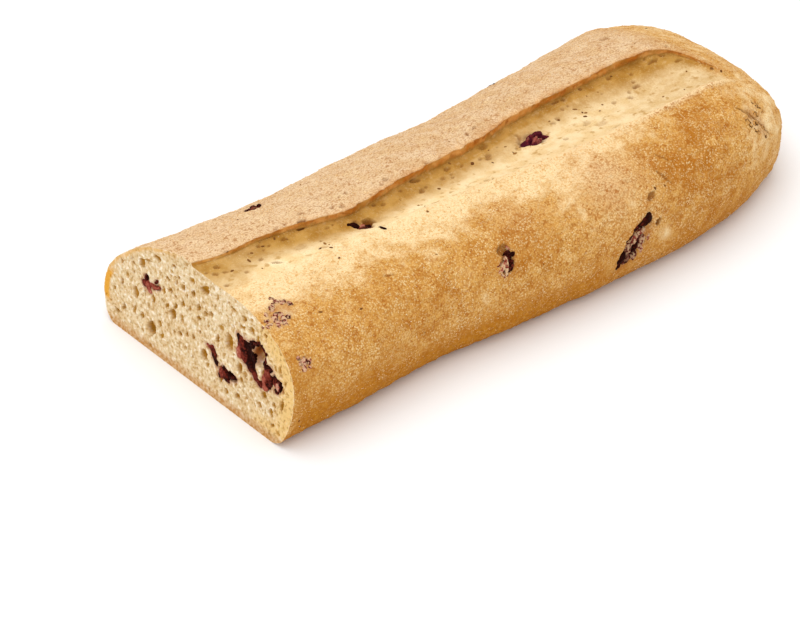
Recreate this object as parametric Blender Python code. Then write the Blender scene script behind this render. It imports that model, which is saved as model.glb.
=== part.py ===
"""Gluten-free olive ciabatta, the part of the loaf that is left after slices were cut off.

A long flat loaf lies on its base along +X. Its -X end is the cut, a flat face that leans a little,
with open pores and pieces of olive in it. Its +X end is round. A lengthwise slash has opened along
the top between a soft crest on the near side, -Y, and a sharp lip on the far side, +Y.
Units are metres. The origin is under the middle of the loaf, on the surface that it lies on.
"""

import math
import random

import bmesh
import bpy
import numpy as np
from mathutils import Matrix, Vector, noise
from mathutils.bvhtree import BVHTree

MM = 0.001

# The loaf
LOAF_LENGTH = 243 * MM
CUT_LEAN = math.radians(7.7)
SIDE_SHARES = (0.0, 0.12, 0.25, 0.40, 0.55, 0.70, 0.80, 0.90)
NEAR_SIDE = (45.0, 45.8, 45.0, 49.0, 51.8, 53.0, 50.8, 45.6)
FAR_SIDE = (51.3, 47.0, 45.5, 46.5, 44.5, 47.0, 49.5, 54.0)
TOP_SHARES = (0.0, 0.3, 0.6, 0.9)
TOP_HEIGHT = (41.8, 42.4, 42.2, 42.8)
NEAR_WIDEST = 0.42
FAR_WIDEST = 0.31
NEAR_TUCK = 9.5 * MM
FAR_TUCK = 6.5 * MM
NEAR_BULGE = 2.3
FAR_BULGE = 1.75
TUCK_BULGE = 2.1

# The round end
END_LENGTH = 44 * MM
END_BULGE = 3.2
END_SLOPE = 42 * MM
END_CROWN = 1.55
END_TUCK = 10 * MM
END_HEIGHT = 0.40
END_SKEW = 0.13
END_SKEW_FROM = 0.7
END_HALF_WIDTH = 50 * MM

# The slash along the top: lip and crest are its two edges, at these distances from the cut
LIP_X = (0, 14, 27, 46, 62, 85, 119, 139, 160, 185, 200, 208, 212, 215, 218)
LIP_Y = (8.5, 5.5, 5.0, 1.4, -2.0, 0.0, 1.0, 4.0, 4.9, 4.4, 3.0, 0.0, -5.5, -12.0, -19.0)
CREST_X = (0, 60, 98, 130, 170, 205, 214)
CREST_Y = (-9.0, -14.5, -18.0, -22.0, -24.5, -24.5, -23.5)
STEP_X = (0, 30, 70, 110, 190, 210, 222)
STEP_HEIGHT = (0.8, 2.0, 3.2, 3.6, 3.4, 1.6, 0.0)
DIP_DEPTH = (0.3, 0.8, 1.6, 2.2, 2.4, 1.0, 0.0)
CREST_DROP = 1.6 * MM
LIP_OVERHANG = 0.5 * MM
LIP_FOOT = 0.8 * MM
OVERHANG_STEP = 3.2 * MM

# Lumps of the crust
LUMP_SIZE = 22 * MM
LUMP_HEIGHT = 0.45 * MM
LUMP_FADE = 7 * MM
DIMPLE_SHARE = 0.45
DIMPLES_A_LUMP = 2.6

# How finely the skin is divided
BODY_STEP = 5.4 * MM
END_STEPS = 19
TUCK_ROWS = 5
NEAR_ROWS = 13
FLOOR_ROWS = 7
FAR_ROWS = 13
BASE_ROWS = 3

# Pieces of olive
OLIVE_GAP = 0.3 * MM
HEART_HEIGHT = 12 * MM
LONG_PIECE = 8.5
DENTS = 0.2

# Olives in the cut: across and up on the face, length, width, turn in degrees, depth behind it, curl
CUT_OLIVES = {
    "olive_cut_crescent": (-22.9, 22.4, 18.0, 4.4, 45, 5.0, 0.4),
    "olive_cut_skin": (-26.2, 30.4, 6.8, 1.7, 8, 3.2, 1.2),
    "olive_cut_wedge": (-31.7, 21.4, 9.4, 3.8, 68, 4.2, 0.4),
    "olive_cut_crumb": (-36.4, 21.2, 5.0, 2.8, 70, 3.0, 0.3),
    "olive_cut_low": (-13.2, 12.2, 7.6, 3.8, 12, 4.0, 0.5),
    "olive_cut_sliver": (-5.2, 15.6, 6.8, 2.0, 50, 3.0, 0.4),
    "olive_cut_far": (28.4, 23.6, 7.8, 3.8, -10, 4.0, 0.5),
}

# Olives in the crust: distance from the cut, bearing round the loaf in degrees from the near side
# over the top, length, width, thickness, turn in degrees, how deep the middle lies under the skin
CRUST_OLIVES = {
    "olive_slash_front": (61.8, 73, 8.4, 4.2, 4.4, -72, 1.6),
    "olive_slash_rear": (138.3, 77, 11.6, 6.4, 6.0, -10, 2.0),
    "olive_near_large": (142.8, 7, 21.0, 7.6, 7.0, 47, 2.9),
    "olive_near_small": (91.5, 22, 8.4, 5.0, 5.4, 50, 1.9),
    "olive_near_flush": (12.6, 45, 11.0, 7.4, 4.0, 40, 1.7),
    "olive_near_speck": (9.8, 22, 5.0, 4.2, 3.4, 30, 1.4),
    "olive_end_flush": (209.8, 25, 12.0, 6.4, 4.6, 120, 1.9),
    "olive_far_front": (44.0, 136, 8.4, 4.6, 4.4, 15, 1.5),
    "olive_far_rear": (158.0, 156, 9.0, 5.6, 5.0, -30, 1.7),
}

# Large pores of the cut: across and up on the face, width, height, depth
CUT_PORES = (
    (-12.7, 24.2, 3.8, 6.2, 2.6),
    (-0.8, 13.2, 3.4, 4.0, 2.2),
    (34.9, 17.4, 2.4, 4.6, 2.0),
    (26.1, 8.6, 5.0, 4.8, 2.6),
    (16.2, 19.5, 3.8, 3.6, 2.4),
    (0.8, 35.8, 4.2, 2.6, 2.0),
    (25.6, 35.0, 3.4, 2.0, 1.8),
    (-39.6, 15.6, 2.0, 4.8, 2.0),
    (32.8, 29.6, 3.6, 4.0, 2.6),
    (-27.0, 26.4, 4.4, 6.2, 4.2),
)
LARGE_PORE = 3.0
SMALL_PORES = 24
SMALL_PORE_RADIUS = (0.8, 1.4)
PORE_RIM = 3.2
PORE_WALL = 1.0
PORE_SEED = 11

SHARP_ANGLE = math.radians(35)
CRUST_COLOUR = (0.62, 0.36, 0.13, 1.0)
OLIVE_COLOUR = (0.09, 0.025, 0.035, 1.0)


def clear_scene():
    for obj in list(bpy.data.objects):
        bpy.data.objects.remove(obj, do_unlink=True)


def new_collection(name):
    made = bpy.data.collections.new(name)
    bpy.context.scene.collection.children.link(made)
    return made


def plain_material(name, colour, roughness):
    made = bpy.data.materials.new(name)
    made.use_nodes = True
    shader = made.node_tree.nodes["Principled BSDF"]
    shader.inputs["Base Color"].default_value = colour
    shader.inputs["Roughness"].default_value = roughness
    shader.inputs["Metallic"].default_value = 0.0
    return made


def new_object(bm, name, collection, material=None):
    """An object with the mesh of bm, its faces turned outward."""
    bmesh.ops.recalc_face_normals(bm, faces=bm.faces)
    data = bpy.data.meshes.new(name)
    bm.to_mesh(data)
    bm.free()
    made = bpy.data.objects.new(name, data)
    collection.objects.link(made)
    if material:
        data.materials.append(material)
    return made


def through(knots, values, x):
    """A smooth curve through the knots, flat where they turn, so that it never overshoots."""
    knots = np.asarray(knots, float)
    values = np.asarray(values, float)
    x = min(max(x, knots[0]), knots[-1])
    span = np.diff(knots)
    slope = np.diff(values) / span
    tangent = np.concatenate([slope[:1], np.zeros(len(knots) - 2), slope[-1:]])
    for i in range(1, len(knots) - 1):
        if slope[i - 1] * slope[i] > 0:
            tangent[i] = 2 * slope[i - 1] * slope[i] / (slope[i - 1] + slope[i])
    i = min(int(np.searchsorted(knots, x, side="right")) - 1, len(span) - 1)
    t = (x - knots[i]) / span[i]
    return float(
        (1 + 2 * t) * (1 - t) ** 2 * values[i]
        + t * (1 - t) ** 2 * span[i] * tangent[i]
        + t * t * (3 - 2 * t) * values[i + 1]
        + t * t * (t - 1) * span[i] * tangent[i + 1]
    )


def quarter(bulge, count):
    """Cosines and sines of a quarter turn, squared out by bulge, for count points."""
    angle = np.linspace(0, math.pi / 2, count)
    return np.abs(np.cos(angle)) ** (2 / bulge), np.abs(np.sin(angle)) ** (2 / bulge)


def rounding(x, length, bulge):
    """1 along the loaf, falling to 0 at its tip over the last length."""
    share = min(max(1 - (LOAF_LENGTH - x) / length, 0.0), 1.0)
    return max(1 - share**bulge, 0.0) ** (1 / bulge)


def section(x):
    """Points of the section at x, from the near base corner over the top to the far one."""
    share = x / LOAF_LENGTH
    near = through(SIDE_SHARES, NEAR_SIDE, share) * MM
    far = through(SIDE_SHARES, FAR_SIDE, share) * MM
    top = through(TOP_SHARES, TOP_HEIGHT, share) * MM
    lip = through(LIP_X, LIP_Y, x / MM) * MM
    crest = through(CREST_X, CREST_Y, x / MM) * MM
    step = through(STEP_X, STEP_HEIGHT, x / MM) * MM
    dip = through(STEP_X, DIP_DEPTH, x / MM) * MM
    crest_height = top - CREST_DROP
    foot = lip - LIP_FOOT + (LIP_FOOT + LIP_OVERHANG) * min(step / OVERHANG_STEP, 1.0)

    c, s = quarter(TUCK_BULGE, TUCK_ROWS)
    near_wide = NEAR_WIDEST * top
    far_wide = FAR_WIDEST * top
    near_low = [(NEAR_TUCK * (1 - a) - near, near_wide * (1 - b)) for a, b in zip(c, s)][::-1]
    far_low = [(far - FAR_TUCK * (1 - a), far_wide * (1 - b)) for a, b in zip(c, s)]
    c, s = quarter(NEAR_BULGE, NEAR_ROWS)
    rise = crest_height - near_wide
    near_up = [(crest - (near + crest) * a, near_wide + rise * b) for a, b in zip(c, s)]
    c, s = quarter(FAR_BULGE, FAR_ROWS)
    rise = top - far_wide
    far_up = [(lip + (far - lip) * a, far_wide + rise * b) for a, b in zip(c, s)][::-1]
    floor = []
    for i in range(1, FLOOR_ROWS + 1):
        u = i / FLOOR_ROWS
        y = crest * (1 - u) + foot * u
        z = crest_height * (1 - u) + (top - step) * u - dip * math.sin(math.pi * u)
        floor.append((y, z))
    return near_low[:-1] + near_up + floor + far_up[:-1] + far_low


def round_end(points, x):
    """Draws the section in towards the tip, from above, from both sides and at the base."""
    middle = (points[0][0] + points[-1][0]) / 2
    height = END_HEIGHT * through(TOP_SHARES, TOP_HEIGHT, x / LOAF_LENGTH) * MM
    across = rounding(x, END_LENGTH, END_BULGE)
    above = rounding(x, END_SLOPE, END_CROWN)
    below = rounding(x, END_TUCK, 2.0)
    drawn = []
    for y, z in points:
        part = above if z > height else below
        drawn.append((middle + (y - middle) * across, height + (z - height) * part))
    return drawn, middle


def lumps(point):
    """How far the crust stands out at a point of it, nothing at the base."""
    fade = min(point.z / LUMP_FADE, 1.0)
    lump = noise.noise(point / LUMP_SIZE)
    dimple = noise.noise(point * DIMPLES_A_LUMP / LUMP_SIZE)
    return fade * LUMP_HEIGHT * (lump + DIMPLE_SHARE * dimple)


def ring(x):
    """The section at x as points in space: leant at the cut, skewed at the end, with its lumps."""
    points, middle = round_end(section(x), x)
    lean = math.tan(CUT_LEAN) * (1 - x / LOAF_LENGTH) ** 3
    turn = min(max((x / LOAF_LENGTH - END_SKEW_FROM) / (1 - END_SKEW_FROM), 0.0), 1.0)
    turn = END_SKEW * turn * turn * (3 - 2 * turn)
    heart = Vector((0, middle, HEART_HEIGHT))
    placed = []
    for y, z in points:
        out = (Vector((0, y, z)) - heart).normalized()
        moved = Vector((x, y, z))
        moved += out * lumps(moved)
        moved.z = max(moved.z, 0.0) if z > 0 else 0.0
        moved.x += lean * moved.z + turn * (moved.y - middle)
        placed.append(moved)
    return placed


def stations():
    """Where the rings stand: even along the body, even along the curve of the round end."""
    start = LOAF_LENGTH - END_LENGTH
    count = round(start / BODY_STEP)
    body = [start * i / count for i in range(count)]
    angle = np.linspace(0, math.pi / 2, 400)
    along = END_LENGTH * np.sin(angle) ** (2 / END_BULGE)
    across = END_HALF_WIDTH * np.cos(angle) ** (2 / END_BULGE)
    travelled = np.concatenate([[0], np.cumsum(np.hypot(np.diff(along), np.diff(across)))])
    even = np.linspace(0, travelled[-1], END_STEPS + 1)[:-1]
    return body + [start + float(v) for v in np.interp(even, travelled, along)]


def loaf_mesh():
    """The loaf's skin: rings joined by faces, the flat cut at one end and the tip at the other."""
    bm = bmesh.new()
    rings = []
    for x in stations():
        points = ring(x)
        base = [points[-1].lerp(points[0], i / (BASE_ROWS + 1)) for i in range(1, BASE_ROWS + 1)]
        rings.append([bm.verts.new(p) for p in points + base])
    for here, there in zip(rings, rings[1:]):
        for i in range(len(here)):
            j = (i + 1) % len(here)
            bm.faces.new((here[i], there[i], there[j], here[j]))
    bm.faces.new(rings[0])
    tip = sum((v.co for v in rings[-1]), Vector()) / len(rings[-1])
    tip.x = LOAF_LENGTH + (tip.x - LOAF_LENGTH) * 0.5
    tip = bm.verts.new(tip)
    for a, b in zip(rings[-1], rings[-1][1:] + rings[-1][:1]):
        bm.faces.new((a, tip, b))
    return bm


def lumpy_ball(size, detail, seed):
    """A ball of the given millimetres along its axes, dented all over."""
    bm = bmesh.new()
    bmesh.ops.create_icosphere(bm, subdivisions=detail, radius=0.5)
    shift = Vector((seed * 1.7, seed * 0.9, seed * 2.3))
    for vert in bm.verts:
        dent = noise.noise(vert.co * 3.4 + shift) + 0.5 * noise.noise(vert.co * 7.0 + shift)
        vert.co *= 1 + DENTS * dent
    bmesh.ops.scale(bm, vec=Vector(size) * MM, verts=bm.verts)
    return bm


def detail_of(length):
    """How often a ball's faces are divided, more for a long piece."""
    return 3 if length > LONG_PIECE else 2


def curl_ends(bm, length, curl):
    """Curls a piece that lies along X, so that its ends come towards +Y."""
    for vert in bm.verts:
        share = 2 * vert.co.x / (length * MM)
        vert.co.y += curl * MM * share * share


def swollen(bm, by):
    """A copy of a closed piece whose skin lies by further out."""
    grown = bm.copy()
    bmesh.ops.recalc_face_normals(grown, faces=grown.faces)
    grown.normal_update()
    for vert in grown.verts:
        vert.co += vert.normal * by
    return grown


def cut_matrix(across, up, turn=0.0):
    """Sets a piece in the cut: its X lies in the face, turned up by turn, and its Z points out of it."""
    turn = math.radians(turn)
    lean = Matrix.Rotation(CUT_LEAN, 3, "Y")
    along = lean @ Vector((0, math.cos(turn), math.sin(turn)))
    out = lean @ Vector((-1, 0, 0))
    made = Matrix((along, out.cross(along), out)).transposed().to_4x4()
    made.translation = lean @ Vector((0, across * MM, up * MM))
    return made


def crust_matrix(tree, x, bearing, turn, depth):
    """Sets a piece in the crust: its Z points out of it, and its middle lies depth under the skin."""
    bearing = math.radians(bearing)
    ray = Vector((0, -math.cos(bearing), math.sin(bearing)))
    hit, out, _, _ = tree.ray_cast(Vector((x * MM, 0, HEART_HEIGHT)), ray)
    if out.dot(ray) < 0:
        out.negate()
    along = (Vector((1, 0, 0)) - out * out.x).normalized()
    along.rotate(Matrix.Rotation(math.radians(turn), 3, out))
    made = Matrix((along, out.cross(along), out)).transposed().to_4x4()
    made.translation = hit - out * depth * MM
    return made


def slice_flush(bm):
    """Cuts a piece off level with the loaf's cut face."""
    out = Matrix.Rotation(CUT_LEAN, 3, "Y") @ Vector((-1, 0, 0))
    geometry = bm.verts[:] + bm.edges[:] + bm.faces[:]
    bmesh.ops.bisect_plane(bm, geom=geometry, plane_co=(0, 0, 0), plane_no=out, clear_outer=True)
    rim = [edge for edge in bm.edges if edge.is_boundary]
    bmesh.ops.holes_fill(bm, edges=rim, sides=0)


def add_olive(name, bm, matrix, parts, cutters, sliced):
    """A piece of olive and the pocket that it lies in, both at the same place."""
    pocket = swollen(bm, OLIVE_GAP)
    for mesh in (bm, pocket):
        bmesh.ops.transform(mesh, matrix=matrix, verts=mesh.verts)
    if sliced:
        slice_flush(bm)
    new_object(pocket, name + "_pocket", cutters)
    new_object(bm, name, parts, plain_material(name, OLIVE_COLOUR, 0.35))


def cut_olives(parts, cutters):
    """The olives that the knife went through, level with the cut."""
    for seed, (name, values) in enumerate(CUT_OLIVES.items()):
        across, up, length, width, turn, depth, curl = values
        bm = lumpy_ball((length, width, 2 * depth), detail_of(length), seed)
        curl_ends(bm, length, curl)
        add_olive(name, bm, cut_matrix(across, up, turn), parts, cutters, sliced=True)


def crust_olives(tree, parts, cutters):
    """The olives that show in the crust."""
    for seed, (name, values) in enumerate(CRUST_OLIVES.items(), len(CUT_OLIVES)):
        x, bearing, length, width, thickness, turn, depth = values
        bm = lumpy_ball((length, width, thickness), detail_of(length), seed)
        matrix = crust_matrix(tree, x, bearing, turn, depth)
        add_olive(name, bm, matrix, parts, cutters, sliced=False)


def cut_outline():
    """The cut's outline in millimetres, across and up on the leaning face."""
    return [(p.y / MM, p.z / math.cos(CUT_LEAN) / MM) for p in ring(0.0)]


def room_at(across, up, outline):
    """Distance from a point of the cut to its outline, negative outside it."""
    inside = False
    nearest = math.inf
    for (ay, az), (by, bz) in zip(outline, outline[1:] + outline[:1]):
        side = Vector((by - ay, bz - az))
        to = Vector((across - ay, up - az))
        t = min(max(to.dot(side) / side.length_squared, 0.0), 1.0)
        nearest = min(nearest, (to - side * t).length)
        if (az > up) != (bz > up) and across < ay + (up - az) * (by - ay) / (bz - az):
            inside = not inside
    return nearest if inside else -nearest


def small_pores():
    """Small pores strewn over the cut by seeded draws, clear of its rim, the olives and each other."""
    draw = random.Random(PORE_SEED)
    outline = cut_outline()
    taken = [(a, u, max(length, width) / 2) for a, u, length, width, *_ in CUT_OLIVES.values()]
    taken += [(a, u, max(width, height) / 2) for a, u, width, height, _ in CUT_PORES]
    made = []
    while len(made) < SMALL_PORES:
        across = draw.uniform(-NEAR_SIDE[0], FAR_SIDE[0])
        up = draw.uniform(0, TOP_HEIGHT[0])
        radius = draw.uniform(*SMALL_PORE_RADIUS)
        if room_at(across, up, outline) < PORE_RIM + radius:
            continue
        if any(math.hypot(across - a, up - u) < r + radius + PORE_WALL for a, u, r in taken):
            continue
        taken.append((across, up, radius))
        made.append((across, up, 2 * radius, 2 * radius * draw.uniform(0.8, 1.3), radius))
    return made


def add_pore(number, values, cutters):
    across, up, width, height, depth = values
    detail = 2 if max(width, height) > LARGE_PORE else 1
    bm = lumpy_ball((width, height, 2 * depth), detail, number)
    bmesh.ops.transform(bm, matrix=cut_matrix(across, up), verts=bm.verts)
    new_object(bm, f"pore_{number}", cutters)


def hide_cutters(cutters):
    for cutter in cutters.objects:
        cutter.hide_render = True
        cutter.display_type = "WIRE"


def cut_loaf(loaf, cutters):
    """Opens every pore and pocket in the loaf."""
    cut = loaf.modifiers.new("pores and pockets", "BOOLEAN")
    cut.operation = "DIFFERENCE"
    cut.operand_type = "COLLECTION"
    cut.collection = cutters
    cut.solver = "EXACT"


def centre_on_origin(parts, cutters):
    """Hangs everything on an empty that puts the origin under the middle of the parts."""
    points = [vert.co for obj in parts.objects for vert in obj.data.vertices]
    low = Vector((min(point[i] for point in points) for i in range(3)))
    high = Vector((max(point[i] for point in points) for i in range(3)))
    empty = bpy.data.objects.new("loaf_origin", None)
    bpy.context.scene.collection.objects.link(empty)
    empty.location = (-(low.x + high.x) / 2, -(low.y + high.y) / 2, -low.z)
    for obj in list(parts.objects) + list(cutters.objects):
        obj.parent = empty


def main():
    clear_scene()
    parts = new_collection("olive_ciabatta")
    cutters = new_collection("cutters")
    loaf = new_object(loaf_mesh(), "loaf", parts, plain_material("crust", CRUST_COLOUR, 0.8))
    skin = bmesh.new()
    skin.from_mesh(loaf.data)
    tree = BVHTree.FromBMesh(skin)
    skin.free()
    cut_olives(parts, cutters)
    crust_olives(tree, parts, cutters)
    for number, values in enumerate(list(CUT_PORES) + small_pores()):
        add_pore(number, values, cutters)
    hide_cutters(cutters)
    cut_loaf(loaf, cutters)
    for obj in parts.objects:
        obj.data.shade_smooth()
        obj.data.set_sharp_from_angle(angle=SHARP_ANGLE)
    centre_on_origin(parts, cutters)


main()
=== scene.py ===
"""Looks of a gluten-free olive ciabatta, the part of the loaf that is left after slices were cut off.

The loaf is one closed skin: a crust drawn through sections along X, and the cut at its -X end, whose
pores and pockets are carved in. Pieces of torn olive lie in the cut and in the crust.
Shapes are worked out in millimetres in the loaf's own frame, where x is 0 at the base of the cut and y
runs from the near side, -Y, to the far one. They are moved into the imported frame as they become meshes.
"""

import math
import random

import bmesh
import bpy
import numpy as np
from mathutils import Matrix, Vector, noise
from mathutils.bvhtree import BVHTree
from mathutils.geometry import delaunay_2d_cdt
from mathutils.kdtree import KDTree


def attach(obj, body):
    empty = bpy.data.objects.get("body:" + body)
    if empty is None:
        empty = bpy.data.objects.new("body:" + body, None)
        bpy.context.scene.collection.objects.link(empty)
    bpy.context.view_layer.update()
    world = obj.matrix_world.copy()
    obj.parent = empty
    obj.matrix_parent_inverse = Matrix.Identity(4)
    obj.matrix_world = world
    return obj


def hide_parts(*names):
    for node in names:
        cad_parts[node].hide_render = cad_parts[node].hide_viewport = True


MM = 0.001

# The loaf's form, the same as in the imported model
LOAF_LENGTH = 243.0
CUT_LEAN = math.radians(7.7)
SIDE_SHARES = (0.0, 0.12, 0.25, 0.40, 0.55, 0.70, 0.80, 0.90)
NEAR_SIDE = (45.0, 45.8, 45.0, 49.0, 51.8, 53.0, 50.8, 45.6)
FAR_SIDE = (51.3, 47.0, 45.5, 46.5, 44.5, 47.0, 49.5, 54.0)
TOP_SHARES = (0.0, 0.3, 0.6, 0.9)
TOP_HEIGHT = (41.8, 42.4, 42.2, 42.8)
NEAR_WIDEST = 0.42
FAR_WIDEST = 0.31
NEAR_TUCK = 9.5
FAR_TUCK = 6.5
NEAR_BULGE = 2.3
FAR_BULGE = 1.75
TUCK_BULGE = 2.1
END_LENGTH = 44.0
END_BULGE = 3.2
END_SLOPE = 42.0
END_CROWN = 1.55
END_TUCK = 10.0
END_HEIGHT = 0.40
END_SKEW = 0.13
END_SKEW_FROM = 0.7
END_HALF_WIDTH = 50.0
LIP_X = (0, 14, 27, 46, 62, 85, 119, 139, 160, 185, 200, 208, 212, 215, 218)
LIP_Y = (8.5, 5.5, 5.0, 1.4, -2.0, 0.0, 1.0, 4.0, 4.9, 4.4, 3.0, 0.0, -5.5, -12.0, -19.0)
CREST_X = (0, 60, 98, 130, 170, 205, 214)
CREST_Y = (-9.0, -14.5, -18.0, -22.0, -24.5, -24.5, -23.5)
STEP_X = (0, 30, 70, 110, 190, 210, 222)
STEP_HEIGHT = (0.8, 2.0, 3.2, 3.6, 3.4, 1.6, 0.0)
DIP_DEPTH = (0.3, 0.8, 1.6, 2.2, 2.4, 1.0, 0.0)
CREST_DROP = 1.6
LIP_OVERHANG = 0.5
LIP_FOOT = 0.8
OVERHANG_STEP = 3.2
LUMP_SIZE = 22.0
LUMP_HEIGHT = 0.45
LUMP_FADE = 7.0
DIMPLE_SHARE = 0.45
DIMPLES_A_LUMP = 2.6
HEART_HEIGHT = 12.0

# How finely the skin is divided, and its points along each stretch of a section
SKIN_STEP = 0.5
STRETCHES = {
    "near_low": 32,
    "near_up": 116,
    "floor": 56,
    "riser": 12,
    "far_up": 116,
    "far_low": 28,
    "base": 48,
}
DENSE = 90

# Noise: how far its pattern moves for a seed of 1
NOISE_SHIFT = (17.3, 9.1, 5.7)

# Fine relief of the crust: size across, height, seed
DIMPLES = (9.0, 0.28, 1.0)
WRINKLES = (3.4, 0.22, 2.0)
LOW_CREASES = (6.5, 0.22, 2.5)
GRIT = (1.7, 0.13, 3.0)
SAND = (0.95, 0.09, 3.5)
FLOOR_BUMPS = ((5.0, 0.25, 6.0), (1.9, 0.12, 6.0))
LIP_CRUMBS = (1.5, 0.40, 9.0)
POCKET_EDGE = (1.8, 0.16, 4.0)
CREASE_STRETCH = (1.6, 1.0, 0.35)
RAGGED_LIP = ((9.0, 0.60), (3.1, 0.55), (1.2, 0.30))
RIDGE_HEIGHT = 1.0
FLOOR_PITS = 70

# Where the crust's zones come in and go: spans of x, unless the name says otherwise
CREST_SHARPENS = (50, 150)
CREST_BLUR = (6.5, 1.2)
FLOOR_ENDS = (208, 219)
LIP_OPENS = (0, 60)
LIP_ENDS = (206, 217)
LIP_BLUR = 1.6
LIP_CLIMB_SHARES = (0.15, 0.6)
SHADE_STARTS = (5, 35)
SHADE_DISTANCE = (13, 3.5)
SHADE_THINS = (80, 120)
SHADE_THIN_DISTANCE = (1.5, 4.0)
RIDGE_STARTS = (60, 125)
RIDGE_ENDS = (206, 216)
RIDGE_ASIDE = 0.4
RIDGE_WIDTH = 1.4
LOW_HEIGHT = (5, 18)
BAKED_BEARING = (34, 56)
FAR_HEIGHT = (12, 30)
FAR_ENDS = (200, 222)
FAR_DUST_ENDS = (50, 110)
CRACKLE_STARTS = (90, 130)
PATCH_REACH = 45.0

# The cut
FACE_STEP = 0.27
FACE_JITTER = 0.28
ROW_SHARE = 0.866
CRUMB_RELIEF = ((1.6, 0.16), (0.7, 0.10))
PORE_SEED = 5
PORE_COUNT = 1500
PORE_RADIUS = (0.22, 1.05)
PORE_RARITY = 3.2
PORE_WALL = 0.30
PORE_BEND = ((2.3, 0.75), (0.9, 0.42))
RIM_ROOM = 0.6
LUMP_ROOM = 0.5
LUMP_POCKET = 1.1

# Meal strewn on the crust, and its thick and thin patches: size across, weight, seed
MEAL_SEED = 11
MEAL_COUNT = 19000
MEAL_RADIUS = (0.11, 0.26)
MEAL_RARITY = 1.8
MEAL_SINK = 0.15
MEAL_PATCHES = ((13.0, 1.0, 20.0), (4.5, 0.7, 21.0))
MEAL_CELLS = 4

# Dark bits baked into the crust
SPECK_SEED = 23
SPECK_COUNT = 38
SPECK_THICKNESS = 0.3
SPECK_BEND = (0.5, 0.12, 3.0)

# Pores of the cut that stand out: across, up, width, height, turn in degrees
SEEN_PORES = (
    (26.0, 8.5, 5.0, 5.0, 20), (16.0, 19.5, 3.6, 4.0, 30), (-12.5, 24.0, 4.0, 6.0, 0),
    (-1.0, 13.0, 3.6, 4.0, 0), (1.0, 36.0, 4.5, 2.8, -25), (35.0, 17.5, 2.4, 4.6, -8),
    (25.5, 35.0, 3.4, 2.0, 0), (-39.5, 15.5, 2.0, 5.0, 0), (33.0, 29.5, 3.4, 3.6, 0),
    (30.5, 31.5, 5.5, 0.9, -20), (43.5, 25.0, 1.6, 1.8, 0), (17.0, 36.5, 2.0, 1.6, 0),
    (11.5, 31.5, 1.8, 2.4, 0), (6.5, 32.0, 2.0, 2.8, 0), (18.0, 27.0, 2.4, 2.0, 0),
    (7.5, 36.0, 2.2, 1.8, 0), (19.5, 30.5, 2.4, 1.6, 0), (3.5, 28.5, 2.2, 2.4, 20),
    (42.5, 17.5, 1.8, 2.6, 0), (40.5, 9.0, 2.6, 2.4, 0), (35.0, 11.0, 1.8, 3.4, 10),
    (31.0, 10.5, 2.4, 2.4, 0), (44.0, 6.0, 2.0, 2.0, 0), (11.0, 20.0, 1.8, 4.0, -35),
    (-3.0, 29.0, 2.4, 2.4, 0), (-18.5, 36.0, 2.4, 2.0, 0), (8.0, 16.0, 1.6, 1.8, 0),
    (11.5, 14.0, 2.2, 1.8, 0), (5.0, 16.5, 1.4, 1.8, 0), (2.0, 20.0, 1.2, 1.6, 0),
    (-7.0, 22.0, 2.0, 2.8, 0), (-23.0, 33.5, 2.4, 2.6, 0), (-18.0, 32.5, 2.8, 1.6, 0),
    (-18.5, 17.5, 3.0, 4.0, 0), (-31.0, 14.5, 2.8, 2.0, 0), (-13.0, 6.0, 2.4, 2.0, 0),
    (-18.5, 7.0, 2.4, 2.4, 0), (-36.0, 13.5, 1.4, 1.8, 0), (-29.5, 10.0, 2.8, 2.0, 0),
    (-36.0, 6.0, 2.2, 1.5, 0), (-40.0, 23.5, 1.4, 2.0, 0), (30.5, 20.0, 1.6, 2.0, 0),
    (3.0, 24.5, 2.0, 1.6, 0), (-13.0, 36.5, 2.4, 1.6, 0), (14.5, 33.5, 1.4, 1.4, 0),
    (40.0, 21.5, 1.4, 1.4, 0),
)

# The hollow beside the largest olive, with painted shade at its far upper end and pale at its near lower one:
# across, up, width, height, turn in degrees, depth
PALE_HOLLOW = (-27.2, 26.6, 6.4, 7.8, 15, 3.4)

# Hollows in the cut beside the olives, painted dark as deep shade: across, up, width, height, turn in
# degrees, depth, how dark the painted shade is
SHADE_PAINTED_HOLLOWS = (
    (29.8, 25.7, 2.2, 2.6, 0, 1.8, 0.62), (-36.6, 20.5, 1.6, 1.4, 0, 1.2, 0.7),
    (-29.6, 17.6, 1.0, 3.4, -30, 1.4, 0.5), (-14.6, 12.8, 1.6, 2.0, -40, 1.4, 0.8),
)
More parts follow.
